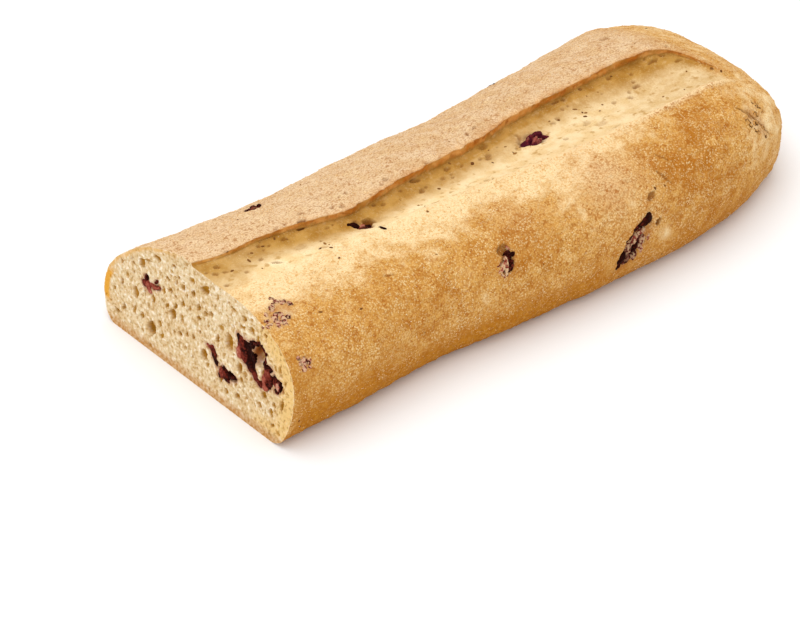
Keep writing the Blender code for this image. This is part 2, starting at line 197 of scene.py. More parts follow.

# Pits and cracks in the crust, with painted shade: x, bearing in degrees, length, width, turn in degrees,
# depth, how dark the painted shade is
PITS = (
    (65.2, 74, 5.2, 3.8, -72, 2.2, 1.0), (27.8, 76, 4.2, 1.1, -38, 0.9, 0.8),
    (162.0, 61, 4.6, 3.6, 0, 0.9, 0.25), (187.5, 78, 3.4, 2.0, 0, 0.7, 0.5),
    (122.0, 91, 4.0, 2.2, 0, 0.6, 0.35), (120.5, 82, 2.4, 1.6, 0, 0.7, 0.5),
    (104.5, 88, 2.2, 1.6, 0, 0.7, 0.5), (91.5, 90, 4.0, 1.8, -20, 0.8, 0.5),
    (100.5, 82, 2.2, 1.6, 0, 0.5, 0.4), (109.0, 60, 2.4, 1.6, 0, 0.7, 0.5),
    (182.5, 97, 2.6, 1.6, 0, 0.7, 0.5), (201.0, 91, 5.0, 1.6, 0, 0.8, 0.6),
    (207.5, 80, 1.8, 1.4, 0, 0.6, 0.5), (45.5, 95, 3.8, 1.8, 0, 0.9, 0.9),
    (52.5, 86, 1.8, 1.2, 0, 0.5, 0.4), (44.5, 70, 2.6, 2.2, 0, 0.5, 0.35),
    (39.5, 81, 5.0, 3.0, 0, 0.3, 0.2), (147.0, 63, 2.4, 1.8, 0, 0.6, 0.45),
    (163.0, 53, 4.0, 1.2, 0, 0.5, 0.4), (158.5, 100, 4.0, 1.4, 0, 0.6, 0.6),
    (72.0, 86, 1.8, 1.4, 0, 0.5, 0.5), (75.0, 83, 1.8, 1.4, 0, 0.5, 0.4),
    (152.5, 11, 3.2, 2.6, 47, 1.3, 0.9), (159.5, 68, 2.8, 2.4, 0, 0.4, 0.3),
    (119.5, 101, 2.6, 0.8, 80, 0.6, 0.7), (124.0, 104, 3.0, 0.8, 20, 0.6, 0.6),
    (199.0, 130, 4.0, 3.0, 0, 0.7, 0.4), (92.2, 27, 5.0, 3.6, 10, 1.5, 0.6),
    (152.0, 21, 4.0, 2.6, 30, 0.8, 0.75), (148.0, 15, 2.4, 1.6, 40, 0.6, 0.6),
    (160.0, 25, 8.0, 0.9, 118, 0.5, 0.6), (164.0, 31, 6.0, 0.8, 124, 0.4, 0.5),
    (205.5, 31, 9.0, 0.9, 128, 0.5, 0.8), (209.5, 26, 12.0, 1.0, 124, 0.6, 0.8),
    (212.5, 20, 8.0, 0.9, 130, 0.5, 0.7), (52.0, 38, 5.0, 0.8, -20, 0.4, 0.5),
)

# Dark bits that stand out: x, bearing in degrees, length, width
SPECKS = (
    (14.0, 87, 1.5, 1.1), (21.5, 89, 1.8, 0.8), (24.5, 94, 1.0, 0.8), (29.5, 95, 1.2, 0.7),
    (35.0, 97, 1.4, 0.8), (113.5, 82, 1.5, 1.3), (107.0, 91, 1.2, 0.9), (95.5, 74, 1.3, 0.9),
    (83.0, 67, 1.0, 0.8), (81.0, 58, 1.1, 0.8), (128.5, 72, 1.9, 1.3), (150.0, 86, 0.9, 0.7),
    (153.0, 83, 0.9, 0.6), (161.5, 85, 1.9, 1.1), (163.0, 77, 1.5, 0.9), (161.5, 74, 1.5, 0.8),
    (214.0, 60, 1.4, 1.0), (215.5, 55, 1.3, 0.9), (205.5, 67, 0.9, 0.7), (188.5, 57, 1.0, 0.8),
    (170.5, 100, 1.4, 1.0), (171.0, 77, 0.9, 0.6), (46.0, 73, 1.7, 0.8), (42.5, 70, 0.9, 1.8),
    (45.0, 66, 1.6, 0.7), (43.5, 57, 1.1, 0.9), (154.5, 23, 2.2, 1.6), (24.0, 37, 1.8, 0.9),
    (36.5, 31, 1.3, 0.8), (112.0, 102, 1.2, 0.9),
)

# Parts of the near crust made paler or browner than the rest: x, bearing in degrees, radius, amount
TINTS = (
    (57.0, 24, 15.0, 0.20), (100.0, 28, 14.0, 0.28), (175.0, 20, 18.0, 0.30), (187.0, 42, 9.0, 0.22),
    (125.0, 40, 13.0, -0.35), (166.0, 45, 8.0, -0.40), (160.0, 33, 7.0, 0.20), (45.0, 55, 12.0, -0.20),
    (21.0, 24, 9.0, 0.05), (72.0, 42, 12.0, -0.20), (207.0, 14, 12.0, -0.20), (156.0, 3, 5.0, -0.55),
    (85.0, 68, 17.0, -0.60), (22.0, 62, 12.0, -0.35), (112.0, 50, 11.0, -0.30), (150.0, 50, 9.0, -0.30),
    (212.0, 32, 15.0, -0.22),
)

# Places where flour lies on the near crust: x, bearing in degrees, radius, amount
DUSTY_PLACES = ((140.0, 37, 13.0, 0.8), (104.0, 42, 9.0, 0.3))

# Olives in the cut: across, up, length, width, turn in degrees, depth
CUT_OLIVES = {
    "olive_cut_crescent": (-22.9, 22.4, 18.0, 4.4, 45, 5.0),
    "olive_cut_skin": (-26.2, 30.4, 6.8, 1.7, 8, 3.2),
    "olive_cut_wedge": (-31.7, 21.4, 9.4, 3.8, 68, 4.2),
    "olive_cut_crumb": (-36.4, 21.2, 5.0, 2.8, 70, 3.0),
    "olive_cut_low": (-13.2, 12.2, 7.6, 3.8, 12, 4.0),
    "olive_cut_sliver": (-5.2, 15.6, 6.8, 2.0, 50, 3.0),
    "olive_cut_far": (28.4, 23.6, 7.8, 3.8, -10, 4.0),
}

# Olives in the crust: x, bearing in degrees, length, width, thickness, turn in degrees, depth of the middle
CRUST_OLIVES = {
    "olive_slash_front": (61.8, 73, 8.4, 4.2, 4.4, -72, 1.6),
    "olive_slash_rear": (138.3, 77, 11.6, 6.4, 6.0, -10, 2.0),
    "olive_near_large": (142.8, 7, 21.0, 7.6, 7.0, 47, 2.9),
    "olive_near_small": (91.5, 22, 8.4, 5.0, 5.4, 50, 1.9),
    "olive_near_flush": (12.6, 45, 11.0, 7.4, 4.0, 40, 1.7),
    "olive_near_speck": (9.8, 22, 5.0, 4.2, 3.4, 30, 1.4),
    "olive_end_flush": (209.8, 25, 12.0, 6.4, 4.6, 120, 1.9),
    "olive_far_front": (44.0, 136, 8.4, 4.6, 4.4, 15, 1.5),
    "olive_far_rear": (158.0, 156, 9.0, 5.6, 5.0, -30, 1.7),
}

# Lumps that show of the olives in the cut: across, up, length, width, turn in degrees, how far each stands
# out, and its tone from 0, black skin, to 1, pink flesh
CUT_LUMPS = {
    "olive_cut_crescent": (
        (-16.8, 28.4, 2.8, 1.5, 65, 0.2, 0.05), (-18.6, 26.6, 5.0, 3.8, 55, 0.5, 0.30),
        (-17.9, 23.4, 4.8, 2.8, 85, 0.5, 0.78), (-21.8, 26.0, 7.0, 3.6, 50, -0.2, 0.00),
        (-23.4, 23.8, 6.0, 3.4, 62, -0.5, 0.00), (-20.2, 22.6, 5.0, 3.2, 60, 0.2, 0.40),
        (-20.2, 24.8, 4.0, 2.8, 70, 0.1, 0.14), (-22.9, 21.0, 5.0, 2.8, 48, 0.1, 0.14),
        (-25.2, 21.0, 3.6, 1.8, 70, -0.3, 0.04), (-25.8, 18.9, 4.8, 2.2, 42, 0.2, 0.36),
        (-28.1, 17.2, 3.4, 1.6, 40, 0.1, 0.26),
    ),
    "olive_cut_skin": (
        (-23.0, 28.7, 2.8, 2.0, 40, 0.1, 0.04), (-24.6, 29.9, 3.0, 1.2, 12, 0.2, 0.06),
        (-26.6, 30.6, 3.0, 0.8, 0, 0.1, 0.16), (-28.5, 30.1, 2.4, 0.7, 40, 0.1, 0.22),
        (-29.7, 28.7, 2.4, 0.6, 68, 0.1, 0.26), (-30.1, 26.8, 2.4, 0.6, 85, 0.1, 0.28),
    ),
    "olive_cut_wedge": (
        (-29.8, 25.1, 2.4, 1.3, 70, 0.1, 0.08), (-32.0, 24.6, 3.8, 2.0, -10, 0.2, 0.08),
        (-31.8, 22.6, 4.2, 3.2, 65, 0.5, 0.46), (-30.7, 19.8, 4.8, 2.2, 82, 0.6, 0.66),
        (-33.4, 21.0, 4.6, 1.9, 80, 0.3, 0.22), (-31.2, 17.6, 2.8, 2.4, 60, 0.4, 0.70),
        (-32.4, 18.9, 3.0, 1.6, 40, 0.1, 0.14),
    ),
    "olive_cut_crumb": (
        (-35.3, 23.0, 2.2, 1.5, 70, 0.2, 0.08), (-35.5, 21.4, 2.6, 1.5, 75, 0.3, 0.28),
        (-37.8, 22.0, 2.4, 1.1, 75, 0.2, 0.12), (-36.9, 20.6, 2.6, 1.8, 55, 0.2, 0.95),
        (-38.0, 20.2, 2.2, 0.9, 85, 0.2, 0.20), (-36.5, 18.7, 2.4, 1.0, 20, 0.2, 0.16),
        (-36.5, 22.6, 1.8, 0.9, -10, 0.1, 0.12),
    ),
    "olive_cut_low": (
        (-10.4, 11.4, 4.0, 2.6, 65, 0.4, 0.46), (-12.0, 11.8, 4.0, 2.6, 55, 0.5, 0.36),
        (-11.2, 13.4, 2.0, 1.2, 60, 0.2, 0.04), (-12.8, 10.3, 3.4, 1.3, 20, 0.2, 0.08),
        (-9.5, 9.9, 2.0, 1.3, 60, 0.3, 0.16), (-15.6, 12.1, 4.0, 1.3, -18, 0.3, 0.14),
        (-13.6, 12.0, 2.8, 1.8, 30, 0.0, 0.02),
    ),
    "olive_cut_sliver": (
        (-3.0, 17.2, 3.2, 1.0, 14, 0.2, 0.70), (-5.0, 17.2, 3.4, 2.0, 60, 0.3, 0.36),
        (-6.0, 15.6, 4.4, 2.3, 65, 0.3, 0.16), (-7.0, 13.8, 3.4, 1.6, 65, 0.1, 0.08),
    ),
    "olive_cut_far": (
        (31.0, 22.9, 2.8, 1.9, 40, 0.3, 0.34), (29.4, 23.4, 4.0, 2.2, -10, 0.4, 0.55),
        (28.4, 22.0, 3.6, 1.8, 30, 0.3, 0.75), (26.6, 24.0, 3.2, 1.5, 20, 0.3, 0.55),
        (25.2, 26.1, 2.2, 1.0, -50, 0.2, 0.24), (24.2, 24.4, 2.8, 1.1, -35, 0.2, 0.60),
        (30.2, 24.8, 2.8, 1.2, 60, 0.2, 0.16),
    ),
}

# Lumps that show of the olives in the crust, the same in each olive's own frame: along, aside, and on
CRUST_LUMPS = {
    "olive_slash_front": (
        (-3.0, -0.7, 4.8, 3.0, 20, 0.6, 0.02), (0.0, 0.1, 2.6, 0.9, 80, 0.6, 0.85),
        (2.3, -0.6, 3.6, 1.9, -10, 0.5, 0.16), (0.4, -2.0, 2.4, 1.6, 20, 0.4, 0.20),
        (4.4, -0.7, 1.8, 1.2, 0, 0.3, 0.25), (8.2, 0.0, 4.0, 1.5, 8, 0.5, 0.06),
        (1.6, 1.2, 2.6, 1.2, 20, 0.3, 0.10), (6.2, -1.2, 1.6, 0.7, 0, 0.2, 0.90),
    ),
    "olive_slash_rear": (
        (-3.2, -1.0, 5.0, 3.4, 35, 0.7, 0.08), (-5.8, -1.8, 3.0, 1.2, 10, 0.3, 0.12),
        (0.2, 1.4, 4.8, 2.4, 30, 0.8, 0.18), (0.8, -0.6, 4.8, 1.4, 40, 0.9, 0.60),
        (-1.2, -2.6, 3.6, 1.8, 10, 0.5, 0.08), (2.0, -1.6, 3.6, 1.3, 35, 0.8, 0.36),
        (3.6, 2.2, 4.2, 2.6, -10, 0.8, 0.14), (4.9, -0.4, 3.2, 1.4, -40, 0.5, 0.10),
        (-1.4, 0.4, 3.4, 0.9, 45, 0.9, 0.42),
    ),
    "olive_near_large": (
        (8.2, 0.9, 6.6, 4.8, -20, 0.9, 0.06), (4.2, 3.5, 6.0, 2.2, -25, 0.6, 0.10),
        (0.2, 4.1, 5.8, 2.2, -10, 0.5, 0.14), (-7.6, 1.8, 5.6, 3.4, 0, 0.8, 0.02),
        (-10.4, 0.4, 4.6, 2.2, 0, 0.5, 0.06), (-3.4, 1.6, 5.0, 3.2, 30, 0.7, 0.34),
        (0.4, 1.4, 4.6, 3.0, 10, 0.6, 0.52), (-2.2, -1.2, 4.0, 3.2, 0, 0.4, 0.06),
        (1.4, -2.2, 4.0, 2.4, 20, 0.5, 0.42), (-4.6, -3.4, 5.0, 2.8, 20, 0.6, 0.34),
        (-7.0, -1.0, 4.8, 2.6, 10, 0.6, 0.22), (11.8, -1.4, 3.0, 1.9, -50, 0.5, 0.24),
        (-1.4, -4.2, 4.4, 2.0, 40, 0.5, 0.64), (3.8, 0.4, 3.6, 2.2, -30, 0.5, 0.66),
        (3.0, -4.2, 3.6, 1.6, 20, 0.4, 0.60),
    ),
    "olive_near_small": (
        (2.6, 0.2, 3.4, 2.6, 20, 0.6, 0.02), (3.8, -1.4, 2.4, 1.6, -20, 0.4, 0.06),
        (-0.6, -1.6, 4.4, 1.6, 0, 0.5, 0.14), (0.2, 0.6, 3.8, 1.4, 30, 0.6, 0.62),
        (-2.0, 1.2, 3.8, 1.6, -10, 0.5, 0.75), (-3.6, 2.2, 2.8, 1.4, 20, 0.4, 0.80),
        (-2.8, -0.6, 3.6, 1.2, 15, 0.5, 0.40), (-4.4, 0.4, 3.0, 1.1, 60, 0.4, 0.55),
        (4.9, 0.8, 1.8, 1.0, 60, 0.3, 0.80), (-1.6, 2.8, 2.8, 1.0, -20, 0.4, 0.50),
    ),
    "olive_near_flush": (
        (5.2, 3.8, 2.6, 1.2, 100, 0.5, 0.42), (4.6, 2.0, 3.8, 1.2, 98, 0.5, 0.34),
        (5.0, 0.0, 3.2, 1.2, -50, 0.5, 0.40), (4.8, -2.2, 2.2, 1.6, 0, 0.6, 0.12),
        (1.8, 2.8, 4.8, 1.1, 8, 0.5, 0.38), (-2.1, 3.7, 3.6, 1.1, 20, 0.5, 0.42),
        (-4.5, 3.0, 2.4, 1.5, 60, 0.6, 0.14), (-5.4, 1.3, 3.2, 1.1, 90, 0.5, 0.32),
        (-2.6, 0.5, 3.4, 1.5, 30, 0.6, 0.16), (-0.5, 0.1, 3.6, 1.2, -60, 0.5, 0.34),
        (-1.7, -1.6, 3.8, 1.3, 50, 0.6, 0.26), (-0.5, -3.0, 2.6, 1.5, 0, 0.6, 0.16),
        (-4.7, -0.6, 3.4, 1.2, 40, 0.5, 0.28), (-3.4, -2.8, 3.6, 1.2, 30, 0.5, 0.66),
        (-6.6, 2.6, 2.8, 1.0, 70, 0.4, 0.50), (-3.6, -1.2, 3.6, 1.0, 80, 0.5, 0.40),
        (-2.8, 0.6, 6.4, 2.9, 45, 0.3, 0.40), (4.9, 1.0, 5.4, 1.6, 95, 0.3, 0.40),
    ),
    "olive_near_speck": (
        (-0.8, 1.4, 2.6, 1.8, 40, 0.6, 0.12), (-1.7, -0.9, 2.6, 1.4, 70, 0.5, 0.20),
        (1.6, -0.9, 2.6, 1.6, 20, 0.5, 0.16), (1.0, 0.7, 2.4, 1.2, 60, 0.5, 0.70),
        (0.2, 2.9, 2.4, 1.1, 0, 0.4, 0.60), (0.0, -2.0, 2.6, 1.2, 10, 0.4, 0.38),
        (0.0, 0.3, 4.6, 2.0, 40, 0.3, 0.40),
    ),
    "olive_end_flush": (
        (2.8, -6.5, 5.0, 1.2, 4, 0.5, 0.20), (-0.8, -7.0, 4.4, 1.2, 14, 0.5, 0.24),
        (3.8, 4.2, 6.4, 1.2, -8, 0.5, 0.18), (-1.6, 3.4, 6.4, 1.3, 22, 0.5, 0.16),
        (-6.4, 0.7, 7.6, 1.3, 32, 0.5, 0.20), (0.6, 1.2, 4.0, 2.0, 20, 0.5, 0.30),
        (-3.4, 0.0, 4.4, 1.9, 30, 0.5, 0.34), (1.6, -2.4, 4.0, 1.2, 0, 0.4, 0.44),
    ),
    "olive_far_front": (
        (-2.2, 1.2, 3.6, 1.6, 0, 0.5, 0.10), (1.4, 1.7, 3.8, 2.0, 20, 0.6, 0.22),
        (0.2, 0.4, 2.8, 1.4, -10, 0.4, 0.48), (3.4, 0.8, 2.2, 1.2, 0, 0.4, 0.14),
    ),
    "olive_far_rear": (
        (-3.0, 1.8, 4.2, 2.6, 20, 0.5, 0.10), (0.8, 1.0, 4.4, 2.4, -20, 0.5, 0.28),
        (-0.6, 3.0, 2.8, 1.4, 0, 0.5, 0.66), (2.4, 2.2, 2.6, 1.6, 40, 0.5, 0.12),
    ),
}

# Voxels that fuse the lumps, and how far the body of an olive lies under the surface
FUSE_STEP = 0.2
BODY_SUNK = 0.4
BODY_TONE = {"cut": 0.1, "crust": 0.08}
TORN_WAYS = (1.3, 0.32)
TORN_FIBRES = (((2.6, 0.7, 0.8), 0.16, 0.0), ((1.1, 0.45, 0.45), 0.08, 0.5))
LEVEL_WAVES = ((1.1, 0.22), (0.5, 0.10))
LEVEL_EDGE = 5

# Olives that lie flush with the crust, with wider and lower lumps and fine dark lines over them
FLUSH_OLIVES = ("olive_near_flush", "olive_near_speck", "olive_end_flush")
FLUSH_SPREAD = 1.7
FLUSH_RISE = 0.70
FLUSH_SINK = 0.15
VEIN_SIZE = 1.1
VEIN_EDGE = (0.28, 0.08)
VEIN_HEIGHT = 0.15
VEIN_TONES = (1.20, 0.22)
BROWN_OLIVE = "olive_end_flush"
WINE_OLIVE = "olive_slash_rear"

# How thickly meal lies on the olives in the crust
THIN_DUST = 0.15
DUST = {
    "olive_near_flush": 0.85,
    "olive_near_speck": 0.85,
    "olive_end_flush": 0.0,
    "olive_near_large": 0.75,
    "olive_near_small": 1.0,
}

# The room
CAMERA_EYE = Vector((-469.86, -638.23, 620.42))
CAMERA_TARGET = Vector((54.78, -34.70, 20.0))
CAMERA_LENS = 141.57
SENSOR_WIDTH = 36.0
CLIP_START = 0.05
FLOOR_SIZE = 6.0
FLOOR_COLOUR = (0.93, 0.93, 0.93, 1.0)
KEY_LIGHT = {"place": (-0.15, 0.25, 2.2), "size": 3.0, "power": 30.0}
FILL_LIGHT = {"place": (-1.6, -0.9, 0.9), "size": 1.6, "power": 4.0}
SKY_COLOUR = (1.0, 1.0, 1.0, 1.0)
SKY_STRENGTH = 0.80
BUMP_DEPTH = 0.0003

# Sums with arrays of points

def smooth(low, high, value):
    """0 below low, 1 above high, and a smooth rise between them."""
    t = np.clip((value - low) / (high - low), 0.0, 1.0)
    return t * t * (3 - 2 * t)


def through(knots, values, x):
    """A smooth curve through the knots, flat where they turn, so that it never overshoots."""
    knots = np.asarray(knots, float)
    values = np.asarray(values, float)
    x = np.clip(np.asarray(x, float), knots[0], knots[-1])
    span = np.diff(knots)
    slope = np.diff(values) / span
    same_way = slope[:-1] * slope[1:] > 0
    total = np.where(same_way, slope[:-1] + slope[1:], 1.0)
    inner = np.where(same_way, 2 * slope[:-1] * slope[1:] / total, 0.0)
    tangent = np.concatenate([slope[:1], inner, slope[-1:]])
    i = np.minimum(np.searchsorted(knots, x, side="right") - 1, len(span) - 1)
    t = (x - knots[i]) / span[i]
    return (
        (1 + 2 * t) * (1 - t) ** 2 * values[i]
        + t * (1 - t) ** 2 * span[i] * tangent[i]
        + t * t * (3 - 2 * t) * values[i + 1]
        + t * t * (t - 1) * span[i] * tangent[i + 1]
    )


def between(span, share):
    """The value at a share of the way from one end of a span to the other."""
    return span[0] + (span[1] - span[0]) * share


def shifted(points, size, seed):
    """Where the noise of a size and a seed is read for each point."""
    return np.asarray(points) / size + np.array(NOISE_SHIFT) * seed


def noise_at(points, size, seed=0.0):
    """Smooth noise from about -1 to 1 at each point, with lumps of the given size or sizes."""
    return np.array([noise.noise(p) for p in shifted(points, size, seed)])


def noise_ways(points, size, seed=0.0):
    """Smooth noise as a vector at each point."""
    return np.array([noise.noise_vector(p) for p in shifted(points, size, seed)])


def bumps(points, size, height, seed):
    """The height of soft bumps at each point."""
    return height * noise_at(points, size, seed)


def creases(points, size, height, seed, sharpness):
    """The height at each point of swellings with sharp creases between them."""
    return height * (1 - 2 * np.abs(noise_at(points, size, seed)) ** sharpness)


def bowl(edge, squareness):
    """1 in the middle of an oval, falling to 0 at its edge, steeply there if it is square."""
    return np.sqrt(np.clip(1 - edge.clip(0) ** squareness, 0, 1))


def evenly(points, count):
    """The line through the points as count points, equally far apart."""
    travelled = np.concatenate([[0], np.cumsum(np.linalg.norm(np.diff(points, axis=0), axis=1))])
    wanted = np.linspace(0, travelled[-1], count)
    return np.stack([np.interp(wanted, travelled, points[:, i]) for i in range(points.shape[1])], axis=1)


# The loaf's sections

def quarter(bulge):
    """Cosines and sines of a quarter turn, squared out by bulge."""
    angle = np.linspace(0, math.pi / 2, DENSE)
    return np.cos(angle).clip(0) ** (2 / bulge), np.sin(angle).clip(0) ** (2 / bulge)


def rounding(x, length, bulge):
    """1 along the loaf, falling to 0 at its tip over the last length."""
    share = min(max(1 - (LOAF_LENGTH - x) / length, 0.0), 1.0)
    return max(1 - share**bulge, 0.0) ** (1 / bulge)


def raggedness(x):
    """How far the torn lip stands out of its line at x."""
    return sum(height * noise.noise(Vector((x / size, height, 3.1))) for size, height in RAGGED_LIP)


def section(x):
    """The stretches of the section at x, as lines of (y, z) from the near base corner to the far one."""
    share = x / LOAF_LENGTH
    near = through(SIDE_SHARES, NEAR_SIDE, share)
    far = through(SIDE_SHARES, FAR_SIDE, share)
    top = through(TOP_SHARES, TOP_HEIGHT, share)
    lip = through(LIP_X, LIP_Y, x)
    crest = through(CREST_X, CREST_Y, x)
    step = through(STEP_X, STEP_HEIGHT, x)
    dip = through(STEP_X, DIP_DEPTH, x)
    crest_height = top - CREST_DROP
    open_share = min(step / OVERHANG_STEP, 1.0)
    foot = lip - LIP_FOOT + (LIP_FOOT + LIP_OVERHANG) * open_share
    lip = lip + raggedness(x) * open_share

    near_wide = NEAR_WIDEST * top
    far_wide = FAR_WIDEST * top
    c, s = quarter(TUCK_BULGE)
    near_low = np.stack([NEAR_TUCK * (1 - c) - near, near_wide * (1 - s)], axis=1)[::-1]
    far_low = np.stack([far - FAR_TUCK * (1 - c), far_wide * (1 - s)], axis=1)
    c, s = quarter(NEAR_BULGE)
    near_up = np.stack([crest - (near + crest) * c, near_wide + (crest_height - near_wide) * s], axis=1)
    c, s = quarter(FAR_BULGE)
    far_up = np.stack([lip + (far - lip) * c, far_wide + (top - far_wide) * s], axis=1)[::-1]
    u = np.linspace(0, 1, DENSE)
    floor_z = crest_height * (1 - u) + (top - step) * u - dip * np.sin(math.pi * u)
    floor = np.stack([crest * (1 - u) + foot * u, floor_z], axis=1)
    riser = np.stack([foot * (1 - u) + lip * u, (top - step) * (1 - u) + top * u], axis=1)
    base = np.stack([far_low[-1] * (1 - v) + near_low[0] * v for v in u])
    return [near_low, near_up, floor, riser, far_up, far_low, base]


def round_end(points, x, middle):
    """Draws a stretch in towards the tip, from above, from both sides and at the base."""
    height = END_HEIGHT * through(TOP_SHARES, TOP_HEIGHT, x / LOAF_LENGTH)
    above = rounding(x, END_SLOPE, END_CROWN)
    below = rounding(x, END_TUCK, 2.0)
    part = np.where(points[:, 1] > height, above, below)
    y = middle + (points[:, 0] - middle) * rounding(x, END_LENGTH, END_BULGE)
    return np.stack([y, height + (points[:, 1] - height) * part], axis=1)


def stations():
    """Where the sections stand: even along the body, even along the curve of the round end."""
    start = LOAF_LENGTH - END_LENGTH
    body = np.linspace(0, start, round(start / SKIN_STEP), endpoint=False)
    angle = np.linspace(0, math.pi / 2, 2000)
    along = END_LENGTH * np.sin(angle) ** (2 / END_BULGE)
    across = END_HALF_WIDTH * np.cos(angle).clip(0) ** (2 / END_BULGE)
    travelled = np.concatenate([[0], np.cumsum(np.hypot(np.diff(along), np.diff(across)))])
    even = np.linspace(0, travelled[-1], round(travelled[-1] / SKIN_STEP), endpoint=False)
    return np.concatenate([body, start + np.interp(even, travelled, along)])


def skin_rows():
    """Which stretch each row of the skin's grid belongs to."""
    names = []
    for name, count in STRETCHES.items():
        names += [name] * (count - 1)
    return np.array(names)


def skin_grid():
    """The skin without its fine relief: stations by rows by (x, y, z)."""
    grid = []
    for x in stations():
        stretches = section(x)
        middle = (stretches[0][0, 0] + stretches[5][-1, 0]) / 2
        ring = [
            evenly(round_end(points, x, middle), count)[:-1]
            for points, count in zip(stretches, STRETCHES.values())
        ]
        ring = np.concatenate(ring)
        ring = np.column_stack([np.full(len(ring), x), ring])
        out = ring - (0, middle, HEART_HEIGHT)
        out[:, 0] = 0
        out /= np.linalg.norm(out, axis=1, keepdims=True)
        lump = noise_at(ring, LUMP_SIZE) + DIMPLE_SHARE * noise_at(ring, LUMP_SIZE / DIMPLES_A_LUMP)
        fade = np.clip(ring[:, 2] / LUMP_FADE, 0, 1)
        on_base = ring[:, 2] <= 1e-9
        ring += out * (fade * LUMP_HEIGHT * lump)[:, None]
        ring[:, 2] = np.where(on_base, 0.0, ring[:, 2].clip(0))
        lean = math.tan(CUT_LEAN) * (1 - x / LOAF_LENGTH) ** 3
        turn = END_SKEW * smooth(END_SKEW_FROM, 1.0, x / LOAF_LENGTH)
        ring[:, 0] += lean * ring[:, 2] + turn * (ring[:, 1] - middle)
        grid.append(ring)
    return np.array(grid)


def outward(grid):
    """The skin's normals at each point of the grid."""
    along = np.gradient(grid, axis=0)
    wrapped = np.concatenate([grid[:, -1:], grid, grid[:, :1]], axis=1)
    round_about = (wrapped[:, 2:] - wrapped[:, :-2]) / 2
    normal = np.cross(along, round_about)
    return normal / (np.linalg.norm(normal, axis=2, keepdims=True) + 1e-12)


# The crust's zones over the grid

def zones(grid, rows):
    """Where the slash's floor, its lip, the far crust and the rest lie; how brown, partly painted light and
    shade.
    """
    x, y, z = grid[..., 0], grid[..., 1], grid[..., 2]
    is_row = {name: np.broadcast_to(rows == name, x.shape).astype(float) for name in STRETCHES}
    bearing = np.degrees(np.arctan2(z - HEART_HEIGHT, -y))
    low = low_zone(x, y, z)
    far = is_row["far_up"] * smooth(*FAR_HEIGHT, z) * (1 - smooth(*FAR_ENDS, x))
    dust = 0.7 * far * (1 - smooth(*FAR_DUST_ENDS, x))
    return {
        **slash_zones(grid, is_row),
        "far": far,
        "dusty": dust + patches(DUSTY_PLACES, x, bearing),
        "low": low,
        "under": is_row["base"],
        "baked": baking(x, bearing, low) + patches(TINTS, x, bearing),
    }


def slash_zones(grid, is_row):
    """The slash's floor, its torn lip, the shade on the floor and the ridge along its near edge."""
    x, y = grid[..., 0], grid[..., 1]
    to_lip = through(LIP_X, LIP_Y, x) - y
    past_crest = y - through(CREST_X, CREST_Y, x)
    upper = is_row["near_up"] + is_row["floor"]
    blur = between(CREST_BLUR, smooth(*CREST_SHARPENS, x))
    floor = upper * smooth(-blur, blur, past_crest) + is_row["riser"]
    ridge = upper * np.exp(-(((past_crest + RIDGE_ASIDE) / RIDGE_WIDTH) ** 2))
    ridge *= smooth(*RIDGE_STARTS, x) * (1 - smooth(*RIDGE_ENDS, x))
    shade = is_row["floor"] * smooth(*SHADE_DISTANCE, to_lip) * (0.4 + 0.6 * smooth(*SHADE_STARTS, x))
    shade *= 1 - 0.4 * smooth(*SHADE_THINS, x) * smooth(*SHADE_THIN_DISTANCE, to_lip)
    tan = 0.22 * smooth(80, 125, x) + 0.22 * smooth(165, 195, x) + 0.55 * smooth(26, 8, x)
    return {
        "floor": np.clip(floor * (1 - smooth(*FLOOR_ENDS, x)), 0, 1),
        "lip": lip_zone(grid, is_row, to_lip),
        "shade": np.clip(shade + is_row["riser"] + is_row["floor"] * tan, 0, 1),
        "ridge": ridge,
    }


def lip_zone(grid, is_row, to_lip):
    """The torn lip: the upper part of the riser, with a ragged border, and the crust just past it."""
    x = grid[..., 0]
    climb = np.cumsum(is_row["riser"], axis=1) * is_row["riser"] / STRETCHES["riser"]
    climb += 0.30 * noise_by_x(x, (3.0, 1.1), 30.0)
    past_lip = is_row["far_up"] * np.exp(-np.abs(to_lip) / LIP_BLUR)
    lip = np.clip(is_row["riser"] * smooth(*LIP_CLIMB_SHARES, climb) + 0.7 * past_lip, 0, 1)
    opened = smooth(*LIP_OPENS, x) * (1 - smooth(*LIP_ENDS, x))
    gaps = smooth(0.0, 0.45, noise_at(grid.reshape(-1, 3), 3.5, 32.0).reshape(x.shape))
    return lip * (0.6 + 0.4 * opened) * (1 - 0.5 * gaps)


def low_zone(x, y, z):
    """The browner crust low down, partly painted shade, with a wavy border, and the darker rim of the cut."""
    ends = LOW_HEIGHT[1] + 5 * smooth(110, 170, x) + 6 * smooth(70, 30, x)
    low = 1 - smooth(LOW_HEIGHT[0], ends, z + 3.0 * noise_by_x(x, (11.0,), 31.0))
    low *= 1 - 0.35 * smooth(0, 20, y) - 0.5 * smooth(110, 150, x) * smooth(0, -20, y)
    rim = 0.55 * (1 - smooth(3, 14, x)) * (1 - smooth(26, 36, z))
    return np.maximum(low, rim) * (0.3 + 0.7 * smooth(1, 9, x))


def baking(x, bearing, low):
    """How baked the crust is, less on its shoulders and at the round end; partly painted light and shade."""
    side = np.minimum(bearing, 180 - bearing)
    shoulder = smooth(*BAKED_BEARING, side) * smooth(190, 140, x)
    return 0.62 - 0.42 * shoulder + 0.55 * low - 0.25 * smooth(200, 230, x)


def noise_by_x(x, sizes, seed):
    """Noise that is the same all round each section, its x read at each of the sizes."""
    lines = [x[:, 0] / size for size in sizes] + [0 * x[:, 0]] * (3 - len(sizes))
    return noise_at(np.stack(lines, axis=1), 1.0, seed)[:, None]


